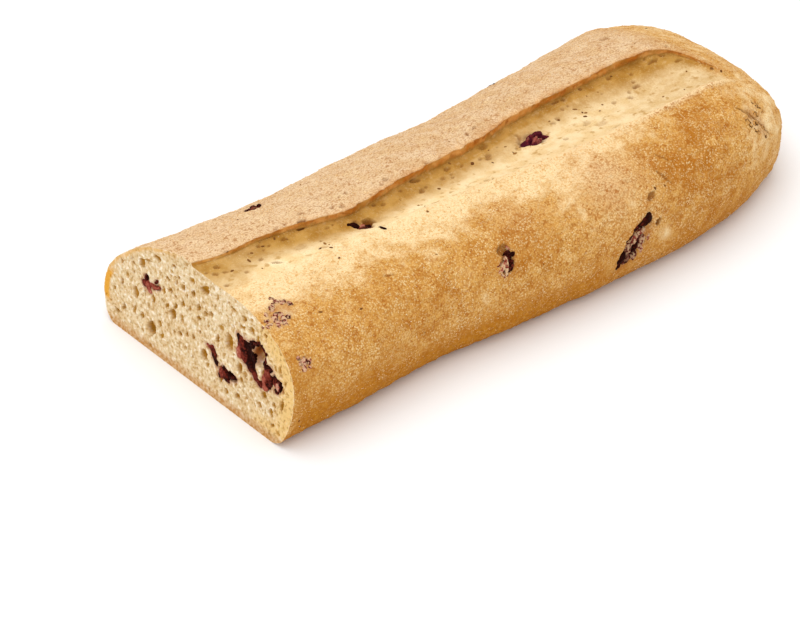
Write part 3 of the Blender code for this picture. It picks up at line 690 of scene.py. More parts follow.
def patches(places, x, bearing):
    """Soft round patches on the crust, each with its amount at its middle."""
    total = 0 * x
    for at, toward, radius, amount in places:
        away = np.hypot(x - at, np.radians(bearing - toward) * PATCH_REACH)
        total += amount * np.exp(-((away / radius) ** 2))
    return total


# Places on the crust

def crust_matrix(tree, x, bearing, turn, depth):
    """Sets a piece in the crust: its Z points out of it, and its middle lies depth under the skin."""
    bearing = math.radians(bearing)
    ray = Vector((0, -math.cos(bearing), math.sin(bearing)))
    hit, out, _, _ = tree.ray_cast(Vector((x, 0, HEART_HEIGHT)), ray)
    if out.dot(ray) < 0:
        out.negate()
    along = (Vector((1, 0, 0)) - out * out.x).normalized()
    along.rotate(Matrix.Rotation(math.radians(turn), 3, out))
    made = Matrix((along, out.cross(along), out)).transposed().to_4x4()
    made.translation = hit - out * depth
    return made


def cut_matrix():
    """The cut's own frame: X across it towards the far side, Y down it and Z out of it."""
    lean = Matrix.Rotation(CUT_LEAN, 3, "Y")
    out = lean @ Vector((-1, 0, 0))
    across = Vector((0, 1, 0))
    return Matrix((across, out.cross(across), out)).transposed().to_4x4()


def to_local(points, matrix):
    """Points in the frame of a matrix."""
    inverse = np.array(matrix.inverted())
    return points @ inverse[:3, :3].T + inverse[:3, 3]


def round_a_place(flat, normals, matrix, length, width):
    """The skin's points near a place, and how far out each lies, 1 at an oval's edge."""
    close = np.linalg.norm(flat - np.array(matrix.translation), axis=1) < 1.2 * max(length, width)
    close &= normals @ np.array(matrix.col[2])[:3] > 0.2
    local = to_local(flat[close], matrix)
    edge = np.hypot(local[:, 0] / (length / 2), local[:, 1] / (width / 2))
    return close, edge + bumps(flat[close], *POCKET_EDGE)


def floor_pits():
    """Small pores strewn over the slash's floor, in the form of the pits."""
    draw = random.Random(PORE_SEED)
    pits = []
    for _ in range(FLOOR_PITS):
        x = draw.uniform(6, 214)
        bearing = draw.uniform(76, 104) - 18 * float(smooth(60, 160, x)) * draw.random()
        size = draw.uniform(0.7, 1.7)
        length = size * draw.uniform(1, 1.6)
        pits.append((x, bearing, length, size, draw.uniform(-40, 40), 0.4 * size, 0.45))
    return tuple(pits)


def carve_crust(grid, normal, matrices, pits, pit_matrices):
    """How far the skin sinks at olives and pits, how near an olive each point is, and the shade painted in
    pits.
    """
    flat = grid.reshape(-1, 3)
    normals = normal.reshape(-1, 3)
    sunk, near, dark = np.zeros((3, len(flat)))
    for name, (_, _, length, width, _, _, _) in CRUST_OLIVES.items():
        close, edge = round_a_place(flat, normals, matrices[name], length, width)
        sink = 1 - smooth(0.7, 1.1, edge) - 0.25 * np.exp(-(((edge - 1.25) / 0.2) ** 2))
        sunk[close] += sink * (FLUSH_SINK if name in FLUSH_OLIVES else 1.0)
        near[close] = np.maximum(near[close], 1 - smooth(0.8, 1.4, edge))
    for matrix, (_, _, length, width, _, depth, shade_painted) in zip(pit_matrices, pits):
        close, edge = round_a_place(flat, normals, matrix, length, width)
        sunk[close] += depth * bowl(edge, 3)
        dark[close] = np.maximum(dark[close], shade_painted * (1 - smooth(0.7, 1.15, edge)))
    return [values.reshape(grid.shape[:2]) for values in (sunk, near, dark)]


def relief(grid, zone):
    """Fine height of the crust: dimples, wrinkles, creases low down, grit and sand, and less in the slash."""
    flat = grid.reshape(-1, 3)
    floor, low, lip, under, ridge = (zone[name].ravel() for name in ("floor", "low", "lip", "under", "ridge"))
    rough = 1 - 0.6 * floor - 0.7 * under
    sandy = rough * (1 - 0.75 * low)
    crackled = 1 + 0.6 * smooth(*CRACKLE_STARTS, flat[:, 0]) * smooth(5, -10, flat[:, 1])
    height = bumps(flat, *DIMPLES) * (0.5 + 0.5 * rough)
    height += creases(flat, *WRINKLES, 0.7) * sandy * crackled
    height += creases(flat * CREASE_STRETCH, *LOW_CREASES, 0.6) * low
    height += bumps(flat, *GRIT) * (0.25 + 0.75 * sandy) * crackled
    height += bumps(flat, *SAND) * sandy
    height += sum(bumps(flat, *swell) for swell in FLOOR_BUMPS) * floor
    height += bumps(flat, *LIP_CRUMBS) * lip
    height += RIDGE_HEIGHT * ridge * (0.75 + 0.5 * noise_at(flat, 2.4, 7.0))
    return height.reshape(grid.shape[:2])


# The cut face

def outline_tree(outline):
    """Finds the distance from a point of the cut to its outline."""
    tree = KDTree(len(outline))
    for i, (across, up) in enumerate(outline):
        tree.insert((across, up, 0), i)
    tree.balance()
    return tree


def pore_shapes(outline):
    """Pores as (across, up, half width, half height, turn, depth): those that stand out, then seeded ones."""
    draw = random.Random(PORE_SEED)
    pores = []
    for across, up, width, height, turn in SEEN_PORES:
        deep = 0.25 + 0.5 * min(width, height)
        pores.append((across, up, width / 2, height / 2, math.radians(turn), deep))
    low = outline.min(0)
    high = outline.max(0)
    tree = outline_tree(outline)
    centres = np.array([pore[:2] for pore in pores])
    radii = np.array([max(pore[2:4]) for pore in pores])
    for _ in range(PORE_COUNT):
        across = draw.uniform(low[0], high[0])
        up = draw.uniform(low[1], high[1])
        radius = between(PORE_RADIUS, draw.random() ** PORE_RARITY)
        flat = draw.uniform(0.45, 0.8) if up < 6 else draw.uniform(0.6, 1.6)
        turn = draw.uniform(-0.7, 0.7)
        _, _, room = tree.find((across, up, 0))
        if not inside(across, up, outline) or room < RIM_ROOM + radius * 0.5:
            continue
        radius = min(radius, 0.35 + 0.24 * room)
        gap = np.hypot(centres[:, 0] - across, centres[:, 1] - up) - radii
        if gap.min() < radius + PORE_WALL:
            continue
        centres = np.vstack([centres, (across, up)])
        radii = np.append(radii, radius)
        pores.append((across, up, radius, radius * flat, turn, radius * min(flat, 1.0)))
    return pores


def inside(across, up, outline):
    """Whether a point of the cut lies within its outline."""
    return bool(all_inside(np.array([(across, up)]), outline)[0])


def all_inside(points, outline):
    """Which points of the cut lie within its outline."""
    found = np.zeros(len(points), bool)
    there = np.roll(outline, -1, axis=0)
    for (ay, au), (by, bu) in zip(outline, there):
        if au == bu:
            continue
        crosses = (au > points[:, 1]) != (bu > points[:, 1])
        found ^= crosses & (points[:, 0] < ay + (points[:, 1] - au) * (by - ay) / (bu - au))
    return found


def face_points(outline):
    """Points strewn evenly over the cut, clear of its outline, and each one's distance from it."""
    draw = np.random.default_rng(PORE_SEED)
    low = outline.min(0)
    high = outline.max(0)
    rows = np.arange(low[1], high[1], FACE_STEP * ROW_SHARE)
    columns = np.arange(low[0], high[0], FACE_STEP)
    a, u = np.meshgrid(columns, rows)
    a[1::2] += FACE_STEP / 2
    points = np.stack([a.ravel(), u.ravel()], axis=1)
    points += draw.uniform(-FACE_JITTER, FACE_JITTER, points.shape) * FACE_STEP
    points = points[all_inside(points, outline)]
    tree = outline_tree(outline)
    room = np.array([tree.find((a, u, 0))[2] for a, u in points])
    keep = room > FACE_STEP
    return points[keep], room[keep]


def oval(points, across, up, width, height, turn):
    """Distance of points from the middle of a turned oval, 1 at its edge."""
    c, s = math.cos(turn), math.sin(turn)
    y = points[:, 0] - across
    z = points[:, 1] - up
    return np.hypot((c * y + s * z) / (width / 2), (c * z - s * y) / (height / 2))


def level_spots(points):
    """Points of the cut as places where noise can be read."""
    return np.column_stack([points, np.zeros(len(points))])


def rim_zones(points, room):
    """Bands of the cut along its outline: the strip at the far side, the base and the near side."""
    across, up = points[:, 0], points[:, 1]
    wavy = room + 0.5 * noise_at(level_spots(points), 3.5, 12.0)
    strip = smooth(3.6, 2.2, wavy) * smooth(38, 43, across) * smooth(6, 9, up) * smooth(22, 17, up)
    strip = np.maximum(strip, 0.5 * smooth(1.8, 0.7, wavy) * smooth(10, 25, across) * smooth(14, 20, up))
    foot = smooth(4.4, 0.6, up + 0.8 * (wavy - room))
    pale = smooth(10.5, 2.5, wavy) * smooth(-22, -32, across) * smooth(1, 5, up)
    return {"strip": strip, "foot": foot, "pale": pale}


def carve_pores(points, bent, pores):
    """Depth of the pores at each point of the cut, and how much of it is pore."""
    depth, pore = np.zeros((2, len(points)))
    for across, up, half_width, half_height, turn, deep in pores:
        reach = 1.6 * max(half_width, half_height) + 0.8
        close = (np.abs(points[:, 0] - across) < reach) & (np.abs(points[:, 1] - up) < reach)
        hollow = bowl(oval(bent[close], across, up, 2 * half_width, 2 * half_height, turn), 3.2)
        depth[close] = np.maximum(depth[close], deep * hollow)
        pore[close] = np.maximum(pore[close], smooth(0.0, 0.8, hollow) * min(deep / 0.9, 1.0))
    return depth, pore


def carve_olives(bent, depth):
    """Sinks the cut round every lump of olive, and gives how much each point is stained."""
    stain = np.zeros(len(bent))
    for lumps in CUT_LUMPS.values():
        for across, up, length, width, turn, _, tone in lumps:
            size = (length + 2 * LUMP_ROOM, width + 2 * LUMP_ROOM)
            edge = oval(bent, across, up, *size, math.radians(turn))
            stain = np.maximum(stain, (1 - 0.65 * tone) * (1 - smooth(0.9, 1.5, edge)))
            depth = np.maximum(depth, LUMP_POCKET * (1 - smooth(0.55, 0.95, edge)))
    return depth, stain


def carve_hollows(points, bent, depth, pore):
    """Sinks the hollows beside the olives. Gives the depth, how much is pore and the shade painted in it."""
    dark = np.zeros(len(points))
    for across, up, width, height, turn, deep, shade_painted in SHADE_PAINTED_HOLLOWS:
        edge = oval(bent, across, up, width, height, math.radians(turn))
        depth = np.maximum(depth, deep * bowl(edge, 4))
        dark = np.maximum(dark, shade_painted * (1 - smooth(0.75, 1.15, edge)))
    across, up, width, height, turn, deep = PALE_HOLLOW
    edge = oval(bent, across, up, width, height, math.radians(turn))
    within = 1 - smooth(0.85, 1.08, edge)
    # Painted shade: darker, and more tan, towards the pale hollow's far upper side
    shaded = 0.75 * (points[:, 0] - across) + 0.66 * (points[:, 1] - up)
    dark = np.maximum(dark, within * 0.85 * smooth(-0.4, 3.4, shaded))
    pore = pore + within * (0.6 * smooth(-2.4, 0.8, shaded) - pore)
    return np.maximum(depth, deep * bowl(edge, 3)), pore, dark


def carve_face(points, room, pores):
    """Depth of the cut's surface at each point, how much of it is pore, and how near an olive it is."""
    spots = level_spots(points)
    bent = points + sum(height * noise_ways(spots, size, size)[:, :2] for size, height in PORE_BEND)
    depth, pore = carve_pores(points, bent, pores)
    depth, stain = carve_olives(bent, depth)
    depth, pore, dark = carve_hollows(points, bent, depth, pore)
    depth = depth + sum(bumps(spots, size, height, 8.0 + size) for size, height in CRUMB_RELIEF)
    return depth.clip(-0.05) * smooth(0.1, 1.2, room), {"pore": pore, "stain": stain, "dark": dark}


# Meshes

def origin_shift(frame):
    """From the loaf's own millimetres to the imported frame's, found at the base of the cut."""
    points = np.array([v.co for v in frame["nodes"]["loaf"].data.vertices]) / MM
    low_x = points[:, 0].min()
    base = points[points[:, 0] < low_x + 0.01]
    return np.array((low_x, base[:, 1].min() + NEAR_SIDE[0] - NEAR_TUCK, 0.0))


def new_object(name, data):
    """An object with its data, linked to the scene."""
    made = bpy.data.objects.new(name, data)
    bpy.context.scene.collection.objects.link(made)
    return made


def new_mesh(name, points, faces, shift, attributes):
    """An object from points in the loaf's millimetres, with a value for each point under each name."""
    data = bpy.data.meshes.new(name)
    data.from_pydata((np.asarray(points) + shift) * MM, [], faces)
    for key, values in attributes.items():
        data.attributes.new(key, "FLOAT", "POINT").data.foreach_set("value", np.asarray(values, np.float32))
    data.shade_smooth()
    return new_object(name, data)


def add_piece(made, slot, materials, *nodes):
    """Gives a piece its materials and its place on the frame."""
    for material in materials:
        made.data.materials.append(material)
    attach(made, "root")
    if nodes:
        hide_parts(*nodes)


def fine_skin(grid, tree):
    """The skin with its fine relief, pits and pockets. Gives its zones and the olives' places too."""
    matrices = {
        name: crust_matrix(tree, x, bearing, turn, depth)
        for name, (x, bearing, _, _, _, turn, depth) in CRUST_OLIVES.items()
    }
    pits = PITS + floor_pits()
    pit_matrices = [crust_matrix(tree, x, bearing, turn, 0.0) for x, bearing, _, _, turn, _, _ in pits]
    zone = zones(grid, skin_rows())
    normal = outward(grid)
    normal[0, :, 0] = 0
    sunk, zone["pocket"], zone["pit_shade"] = carve_crust(grid, normal, matrices, pits, pit_matrices)
    height = (relief(grid, zone) - sunk) * smooth(0, 2.0, grid[..., 2]) * (1 - zone["under"])
    grid = grid + normal * height[..., None]
    grid[..., 2] = grid[..., 2].clip(0)
    grid[0, :, 0] = math.tan(CUT_LEAN) * grid[0, :, 2]
    return grid, zone, matrices


def cut_face(outline):
    """Points of the cut as (across, up), the same carved and set in place, and their zones."""
    points, room = face_points(outline)
    depth, zone = carve_face(points, room, pore_shapes(outline))
    zone.update(rim_zones(points, room))
    lean = np.array((math.sin(CUT_LEAN), 0, math.cos(CUT_LEAN)))
    inward = np.array((math.cos(CUT_LEAN), 0, -math.sin(CUT_LEAN)))
    face = points[:, :1] * (0, 1, 0) + points[:, 1:] * lean + depth[:, None] * inward
    face[:, 2] = face[:, 2].clip(0.01)
    return points, face, zone


def cut_triangles(outline, points, first_face):
    """Triangles between the outline, whose points come first in the mesh, and the points of the cut."""
    around = len(outline)
    flat = [Vector(p) for p in np.concatenate([outline, points])]
    border = [(i, (i + 1) % around) for i in range(around)]
    _, _, triangles, original, _, _ = delaunay_2d_cdt(flat, border, [], 1, 1e-6)
    place = [o[0] if o[0] < around else o[0] - around + first_face for o in original]
    return [tuple(place[i] for i in reversed(triangle)) for triangle in triangles]


def mark_cut(made, cut_count, around):
    """Gives the cut's faces, the last in the mesh, the second material, and the cut a sharp rim."""
    is_cut = np.zeros(len(made.data.polygons), np.int32)
    is_cut[-cut_count:] = 1
    made.data.polygons.foreach_set("material_index", is_cut)
    ends = np.zeros(len(made.data.edges) * 2, np.int32)
    made.data.edges.foreach_get("vertices", ends)
    on_rim = (ends.reshape(-1, 2) < around).all(axis=1)
    made.data.attributes.new("sharp_edge", "BOOLEAN", "EDGE").data.foreach_set("value", on_rim)


def make_loaf(shift, crust, crumb):
    """The loaf: crust and cut in one closed skin. Gives its grid, zones, tree and the olives' places."""
    grid = skin_grid()
    count, around = grid.shape[:2]
    index = np.arange(count * around).reshape(count, around)
    following = np.roll(index, -1, axis=1)
    quads = np.stack([index[:-1], index[1:], following[1:], following[:-1]], axis=-1).reshape(-1, 4).tolist()
    tree = BVHTree.FromPolygons(grid.reshape(-1, 3).tolist(), quads)
    grid, zone, matrices = fine_skin(grid, tree)
    outline = np.stack([grid[0, :, 1], grid[0, :, 2] / math.cos(CUT_LEAN)], axis=1)
    points, face, cut_zone = cut_face(outline)
    cut_faces = cut_triangles(outline, points, index.size)
    tip = grid[-1].mean(0)
    tip[0] = (tip[0] + LOAF_LENGTH) / 2
    tip_index = index.size + len(points)
    tip_faces = [(a, tip_index, b) for a, b in zip(index[-1].tolist(), following[-1].tolist())]

    everything = np.concatenate([grid.reshape(-1, 3), face, tip[None]])
    attributes = {key: np.append(values, np.zeros(len(points) + 1)) for key, values in zone.items()}
    for key, values in cut_zone.items():
        attributes[key] = np.concatenate([np.zeros(index.size), values, [0]])
    made = new_mesh("loaf_bread", everything, quads + tip_faces + cut_faces, shift, attributes)
    add_piece(made, "crust", [crust, crumb], "loaf")
    mark_cut(made, len(cut_faces), around)
    return grid, zone, tree, matrices


# Olives

def ball(place, turn, size, out=Vector((0, 0, 1))):
    """The matrix that makes a unit ball a lump of the given size, turned about out."""
    upright = Vector((0, 0, 1)).rotation_difference(out).to_matrix().to_4x4()
    spin = Matrix.Rotation(math.radians(turn), 4, "Z")
    return Matrix.Translation(place) @ upright @ spin @ Matrix.Diagonal((*(half / 2 for half in size), 1))


def fused(balls):
    """Points, normals and faces of one closed skin round all the balls."""
    bm = bmesh.new()
    for matrix in balls:
        bmesh.ops.create_icosphere(bm, subdivisions=3, radius=1.0, matrix=matrix)
    data = bpy.data.meshes.new("fused")
    bm.to_mesh(data)
    bm.free()
    holder = new_object("fused", data)
    remesh = holder.modifiers.new("fused", "REMESH")
    remesh.mode = "VOXEL"
    remesh.voxel_size = FUSE_STEP
    remesh.use_smooth_shade = True
    skin = bpy.data.meshes.new_from_object(holder.evaluated_get(bpy.context.evaluated_depsgraph_get()))
    points = np.zeros(len(skin.vertices) * 3)
    normals = np.zeros(len(skin.vertices) * 3)
    skin.vertices.foreach_get("co", points)
    skin.vertex_normals.foreach_get("vector", normals)
    faces = [tuple(face.vertices) for face in skin.polygons]
    bpy.data.objects.remove(holder)
    bpy.data.meshes.remove(data)
    bpy.data.meshes.remove(skin)
    return points.reshape(-1, 3), normals.reshape(-1, 3), faces


def shares(points, balls):
    """How much each ball has to say at each point, by how near it is."""
    near = np.array([np.linalg.norm(to_local(points, matrix), axis=1) for matrix in balls])
    weight = np.exp(-7 * near)
    return weight / weight.sum(axis=0)


def torn(points, normals, seed):
    """Tears and fibres on a lump of olive."""
    size, height = TORN_WAYS
    fibres = sum(bumps(points, sizes, tall, seed + step) for sizes, tall, step in TORN_FIBRES)
    return points + height * noise_ways(points, size, seed) + normals * fibres[:, None]


def make_cut_olive(name, lumps, seed):
    """A piece of olive in the cut: a body behind the face and the torn lumps that show, sliced level."""
    across, up, length, width, turn, deep = CUT_OLIVES[name]
    body = ball((across, -up, -0.5 * deep - BODY_SUNK), -turn, (0.9 * length, 0.9 * width, 0.9 * deep))
    balls = [body]
    for across, up, length, width, turn, _, _ in lumps:
        thick = min(2 * width, 3.2) + 0.8
        balls.append(ball((across, -up, -0.6), -turn, (length, width, thick)))
    points, normals, faces = fused(balls)
    share = shares(points, balls)
    proud = np.array([0.0] + [lump[5] for lump in lumps]) @ share
    tone = np.array([BODY_TONE["cut"]] + [lump[6] for lump in lumps]) @ share
    points = torn(points, normals, seed)
    flat = points * (1, 1, 0)
    level = proud + sum(bumps(flat, size, height, seed) for size, height in LEVEL_WAVES)
    points[:, 2] = level - np.logaddexp(0, LEVEL_EDGE * (level - points[:, 2])) / LEVEL_EDGE
    return points, faces, tone


def crust_lump(lump, flush, tree, matrix):
    """The ball for a lump that breaks through the skin, in the frame of its olive."""
    along, aside, length, width, turn, proud, _ = lump
    if flush:
        width *= FLUSH_SPREAD
        proud *= FLUSH_RISE
    turned = matrix.to_3x3()
    hit, out, _, _ = tree.ray_cast(matrix @ Vector((along, aside, 12.0)), -turned.col[2])
    out = turned.transposed() @ out
    out = out if out.z > 0 else -out
    thick = 0.9 * width + 0.7
    return ball(matrix.inverted() @ hit + out * (proud - thick / 2), turn, (length, width, thick), out)


def make_crust_olive(name, lumps, seed, tree, matrix):
    """A piece of olive in the crust: a body under the skin and the torn lumps that break through it."""
    _, _, length, width, thickness, _, depth = CRUST_OLIVES[name]
    flush = name in FLUSH_OLIVES
    under = depth - BODY_SUNK - thickness / 2
    balls = [ball((0, 0, under), 0, (0.94 * length, 0.94 * width, thickness))]
    balls += [crust_lump(lump, flush, tree, matrix) for lump in lumps]
    points, normals, faces = fused(balls)
    tone = np.array([BODY_TONE["crust"]] + [lump[6] for lump in lumps]) @ shares(points, balls)
    points = torn(points, normals, seed)
    if flush:
        line = veins(points, seed)
        points += normals * (VEIN_HEIGHT * line)[:, None]
        tone = between(VEIN_TONES, line)
    return points, faces, tone


def veins(points, seed):
    """Fine lines over an olive that lies flush with the crust: 1 on them and 0 between."""
    return smooth(*VEIN_EDGE, np.abs(noise_at(points, VEIN_SIZE, seed)))


def place_olive(name, points, faces, matrix, shift, attributes, material):
    """Makes an olive's mesh from points in the frame of a matrix, and gives it its place on the frame."""
    turned = np.array(matrix)
    points = points @ turned[:3, :3].T + turned[:3, 3]
    add_piece(new_mesh(name + "_torn", points, faces, shift, attributes), "olive", [material], name)


def make_olives(shift, tree, matrices, material):
    """Every piece of olive, in the cut and in the crust."""
    for seed, (name, lumps) in enumerate(CUT_LUMPS.items()):
        points, faces, tone = make_cut_olive(name, lumps, seed)
        place_olive(name, points, faces, cut_matrix(), shift, {"tone": tone}, material)
    for seed, (name, lumps) in enumerate(CRUST_LUMPS.items(), len(CUT_LUMPS)):
        points, faces, tone = make_crust_olive(name, lumps, seed, tree, matrices[name])
        attributes = {
            "tone": tone,
            "dust": DUST.get(name, THIN_DUST) * smooth(0.12, 0.40, tone),
            "brown": np.full(len(tone), float(name == BROWN_OLIVE)),
            "wine": np.full(len(tone), float(name == WINE_OLIVE)),
        }
        place_olive(name, points, faces, matrices[name], shift, attributes, material)


# What lies on the crust

def strewn(grid, share, count, draw):
    """Random places on the skin, as many in each cell as its area and share ask for, with the normals."""
    corner = grid[:-1, :-1]
    area = np.linalg.norm(np.cross(grid[1:, :-1] - corner, grid[:-1, 1:] - corner), axis=2)
    weight = (area * share[:-1, :-1]).ravel()
    picked = draw.choice(len(weight), count, p=weight / weight.sum())
    i, j = np.divmod(picked, area.shape[1])
    u, v = draw.random((2, count, 1))
    near = grid[i, j] * (1 - u) + grid[i + 1, j] * u
    far = grid[i, j + 1] * (1 - u) + grid[i + 1, j + 1] * u
    return near * (1 - v) + far * v, outward(grid)[i, j]


def scattered(spots, out, corners, faces, sizes, lift, draw):
    """Copies of a small shape at the spots, each with its own size along its axes and its own turn."""
    helper = draw.normal(size=out.shape)
    along = np.cross(out, helper)
    along /= np.linalg.norm(along, axis=1, keepdims=True)
    axes = np.stack([along, np.cross(out, along), out], axis=1)
    local = corners[None] * sizes[:, None, :]
    points = (spots + out * lift[:, None])[:, None] + np.einsum("npk,nkx->npx", local, axes)
    step = np.arange(len(spots))[:, None, None] * len(corners)
    return points.reshape(-1, 3), (np.asarray(faces)[None] + step).reshape(-1, 3).tolist()


def make_meal(grid, zone, shift, material):
    """Grains of pale meal that cling to the crust, thick in some patches and thin in others."""
    draw = np.random.default_rng(MEAL_SEED)
    coarse = grid[::MEAL_CELLS, ::MEAL_CELLS]
    flat = coarse.reshape(-1, 3)
    thick = sum(bumps(flat, *patch) for patch in MEAL_PATCHES).reshape(coarse.shape[:2])
    thick = thick.repeat(MEAL_CELLS, axis=0).repeat(MEAL_CELLS, axis=1)[:grid.shape[0], :grid.shape[1]]
    share = np.exp(1.6 * thick) * (1 - 0.97 * zone["floor"]) * (1 - 0.8 * zone["low"])
    share *= (1 - zone["under"]) * (1 - 0.5 * zone["pocket"]) * (1 - zone["pit_shade"]) * (1 - 0.7 * zone["lip"])
    share *= smooth(0.5, 2.0, grid[..., 0]) * smooth(0.4, 1.5, grid[..., 2])
    spots, out = strewn(grid, share, MEAL_COUNT, draw)
    radius = between(MEAL_RADIUS, draw.random(MEAL_COUNT) ** MEAL_RARITY)
    sizes = radius[:, None] * draw.uniform((0.8, 0.7, 0.5), (1.4, 1.1, 0.8), (MEAL_COUNT, 3))
    corners = np.array([(1, 0, 0), (-1, 0, 0), (0, 1, 0), (0, -1, 0), (0, 0, 1), (0, 0, -1)], float)
    faces = [(0, 2, 4), (2, 1, 4), (1, 3, 4), (3, 0, 4), (2, 0, 5), (1, 2, 5), (3, 1, 5), (0, 3, 5)]
    points, triangles = scattered(spots, out, corners, faces, sizes, radius * MEAL_SINK, draw)
    tone = np.repeat(draw.random(MEAL_COUNT), len(corners))
    made = new_mesh("crust_meal", points, triangles, shift, {"tone": tone})
    add_piece(made, "crust", [material])


def make_specks(grid, zone, tree, shift, material):
    """Dark bits of olive and herb baked into the crust."""
    draw = np.random.default_rng(SPECK_SEED)
    share = (0.35 + 1.2 * zone["floor"]) * (1 - zone["under"]) * (1 - zone["pocket"]) * (1 - zone["lip"])
    share *= smooth(1.0, 3.0, grid[..., 0]) * smooth(1.0, 3.0, grid[..., 2])
    spots, out = strewn(grid, share, SPECK_COUNT, draw)
    sizes = draw.uniform((0.25, 0.18, 0.12), (0.55, 0.35, 0.22), (SPECK_COUNT, 3))
    seen = [crust_matrix(tree, x, bearing, 0.0, 0.0) for x, bearing, _, _ in SPECKS]
    spots = np.concatenate([[tuple(matrix.translation) for matrix in seen], spots])
    out = np.concatenate([[tuple(matrix.col[2])[:3] for matrix in seen], out])
    seen_sizes = [(length / 2, width / 2, SPECK_THICKNESS) for _, _, length, width in SPECKS]
    sizes = np.concatenate([seen_sizes, sizes])
    bm = bmesh.new()
    bmesh.ops.create_icosphere(bm, subdivisions=2, radius=1.0)
    corners = np.array([tuple(vert.co) for vert in bm.verts])
    faces = [tuple(vert.index for vert in face.verts) for face in bm.faces]
    bm.free()
    points, triangles = scattered(spots, out, corners, faces, sizes, np.zeros(len(spots)), draw)
    size, height, seed = SPECK_BEND
    points += height * noise_ways(points, size, seed)
    tone = np.repeat(draw.random(len(spots)), len(corners))
    made = new_mesh("crust_specks", points, triangles, shift, {"tone": tone})
    add_piece(made, "olive", [material])


# Materials

def linear(red, green, blue):
    """A colour as seen, each part from 0 to 255, as the shader wants it."""
    parts = np.array((red, green, blue)) / 255
    parts = np.where(parts < 0.04045, parts / 12.92, ((parts + 0.055) / 1.055) ** 2.4)
    return (*parts.tolist(), 1.0)


def new_material(name):
    """A material, its nodes and its shader."""
    made = bpy.data.materials.new(name)
    made.use_nodes = True
    return made, made.node_tree, made.node_tree.nodes["Principled BSDF"]


def set_inputs(tree, node, sockets):
    """Gives a node's inputs values, colours as (red, green, blue) as seen, or other nodes' outputs."""
    for key, value in sockets.items():
        socket = node.inputs[key]
        if isinstance(value, bpy.types.NodeSocket):
            tree.links.new(value, socket)
        elif socket.type == "RGBA":
            socket.default_value = linear(*value)
        else:
            socket.default_value = value


def add(tree, kind, sockets=None, **settings):
    """A shader node with its settings and its inputs."""
    made = tree.nodes.new("ShaderNode" + kind)
    for key, value in settings.items():
        setattr(made, key, value)
    set_inputs(tree, made, sockets or {})
    return made


def mix(tree, factor, a, b):
    """One colour over another."""
    return add(tree, "Mix", {0: factor, 6: a, 7: b}, data_type="RGBA").outputs[2]


def layered(tree, colour, *layers):
    """A colour with others laid over it one by one, each given as (factor, colour)."""
    for factor, over in layers:
        colour = mix(tree, factor, colour, over)
    return colour


def math_of(tree, operation, first, *others):
    """Values added, multiplied or compared one after another."""
    for other in others:
        first = add(tree, "Math", {0: first, 1: other}, operation=operation).outputs[0]
    return first


def scaled(tree, value, by, plus=0.0):
    """A value times a number, and another number added."""
    return add(tree, "Math", {0: value, 1: by, 2: plus}, operation="MULTIPLY_ADD").outputs[0]


def ramp(tree, value, low, high, to_low=0.0, to_high=1.0):
    """A smooth step of a value from low to high."""
    sockets = {"Value": value, "From Min": low, "From Max": high, "To Min": to_low, "To Max": to_high}
    return add(tree, "MapRange", sockets, interpolation_type="SMOOTHSTEP").outputs[0]


def attribute(tree, name):
    """A value that the mesh holds for each of its points."""
    return add(tree, "Attribute", attribute_name=name).outputs["Fac"]


def noise_node(tree, where, size, detail=2.0):
    """Noise whose lumps are size metres across."""
    return add(tree, "TexNoise", {"Vector": where, "Scale": 1 / size, "Detail": detail}).outputs["Fac"]


def cells(tree, where, size):
    """Cells of size metres: the distance to the middle of each and a random number for each."""
    made = add(tree, "TexVoronoi", {"Vector": where, "Scale": 1 / size})
    number = add(tree, "SeparateColor", {0: made.outputs["Color"]}).outputs[0]
    return made.outputs["Distance"], number


def bump(tree, height, strength):
    """Normals that make a height show."""
    return add(tree, "Bump", {"Height": height, "Strength": strength, "Distance": BUMP_DEPTH}).outputs[0]


def side_colour(tree, baked, low, patchy, speckle):
    """The near crust by its baked value, partly painted light and shade, browner low down, and the far crust
    over it.
    """
    low_brown_and_shade = mix(tree, ramp(tree, speckle, 0.35, 0.65), (168, 104, 18), (190, 128, 34))
    return layered(
        tree,
        mix(tree, ramp(tree, baked, -0.05, 0.55), (246, 218, 168), (216, 164, 88)),
        (ramp(tree, baked, 0.45, 1.20), (180, 114, 32)),
        (scaled(tree, low, 0.85), low_brown_and_shade),
        (attribute(tree, "far"), mix(tree, patchy, (230, 199, 160), (218, 180, 134))),
    )


def slash_colour(tree, patchy, holes):
    """The slash's floor: cream, olive tan in its shade, with small holes."""
    return layered(
        tree,
        mix(tree, patchy, (252, 230, 186), (242, 211, 156)),
        (attribute(tree, "shade"), mix(tree, patchy, (190, 144, 72), (168, 120, 48))),
        (ramp(tree, holes, 0.44, 0.30, 0.0, 0.7), (180, 134, 66)),
        (ramp(tree, holes, 0.56, 0.72, 0.0, 0.2), (244, 216, 166)),
    )


def lip_colour(tree, patchy, holes):
    """The torn lip: orange-brown, darker in its holes."""
    brown = mix(tree, patchy, (224, 162, 88), (196, 122, 44))
    return mix(tree, ramp(tree, holes, 0.50, 0.32, 0.0, 0.8), brown, (166, 94, 28))


def sand(tree, where, sandy):
    """Grains of the crust: how light and how dark each place is, and their height."""
    distance, small_number = cells(tree, where, 0.00065)
    _, large_number = cells(tree, where, 0.0015)
    tone = math_of(tree, "ADD", scaled(tree, small_number, 0.62), scaled(tree, large_number, 0.38))
    flour = ramp(tree, noise_node(tree, where, 0.008, 3.0), 0.36, 0.66, 0.35, 1.0)
    middles = ramp(tree, distance, 0.62, 0.30)
    light = math_of(tree, "MULTIPLY", ramp(tree, tone, 0.38, 0.72), middles, flour, sandy)
    gaps = ramp(tree, distance, 0.45, 0.75, 0.0, 0.62)
    dark = math_of(tree, "MULTIPLY", math_of(tree, "MAXIMUM", gaps, ramp(tree, tone, 0.34, 0.10)), sandy)
    return light, dark, math_of(tree, "MULTIPLY", tone, ramp(tree, distance, 0.7, 0.1))


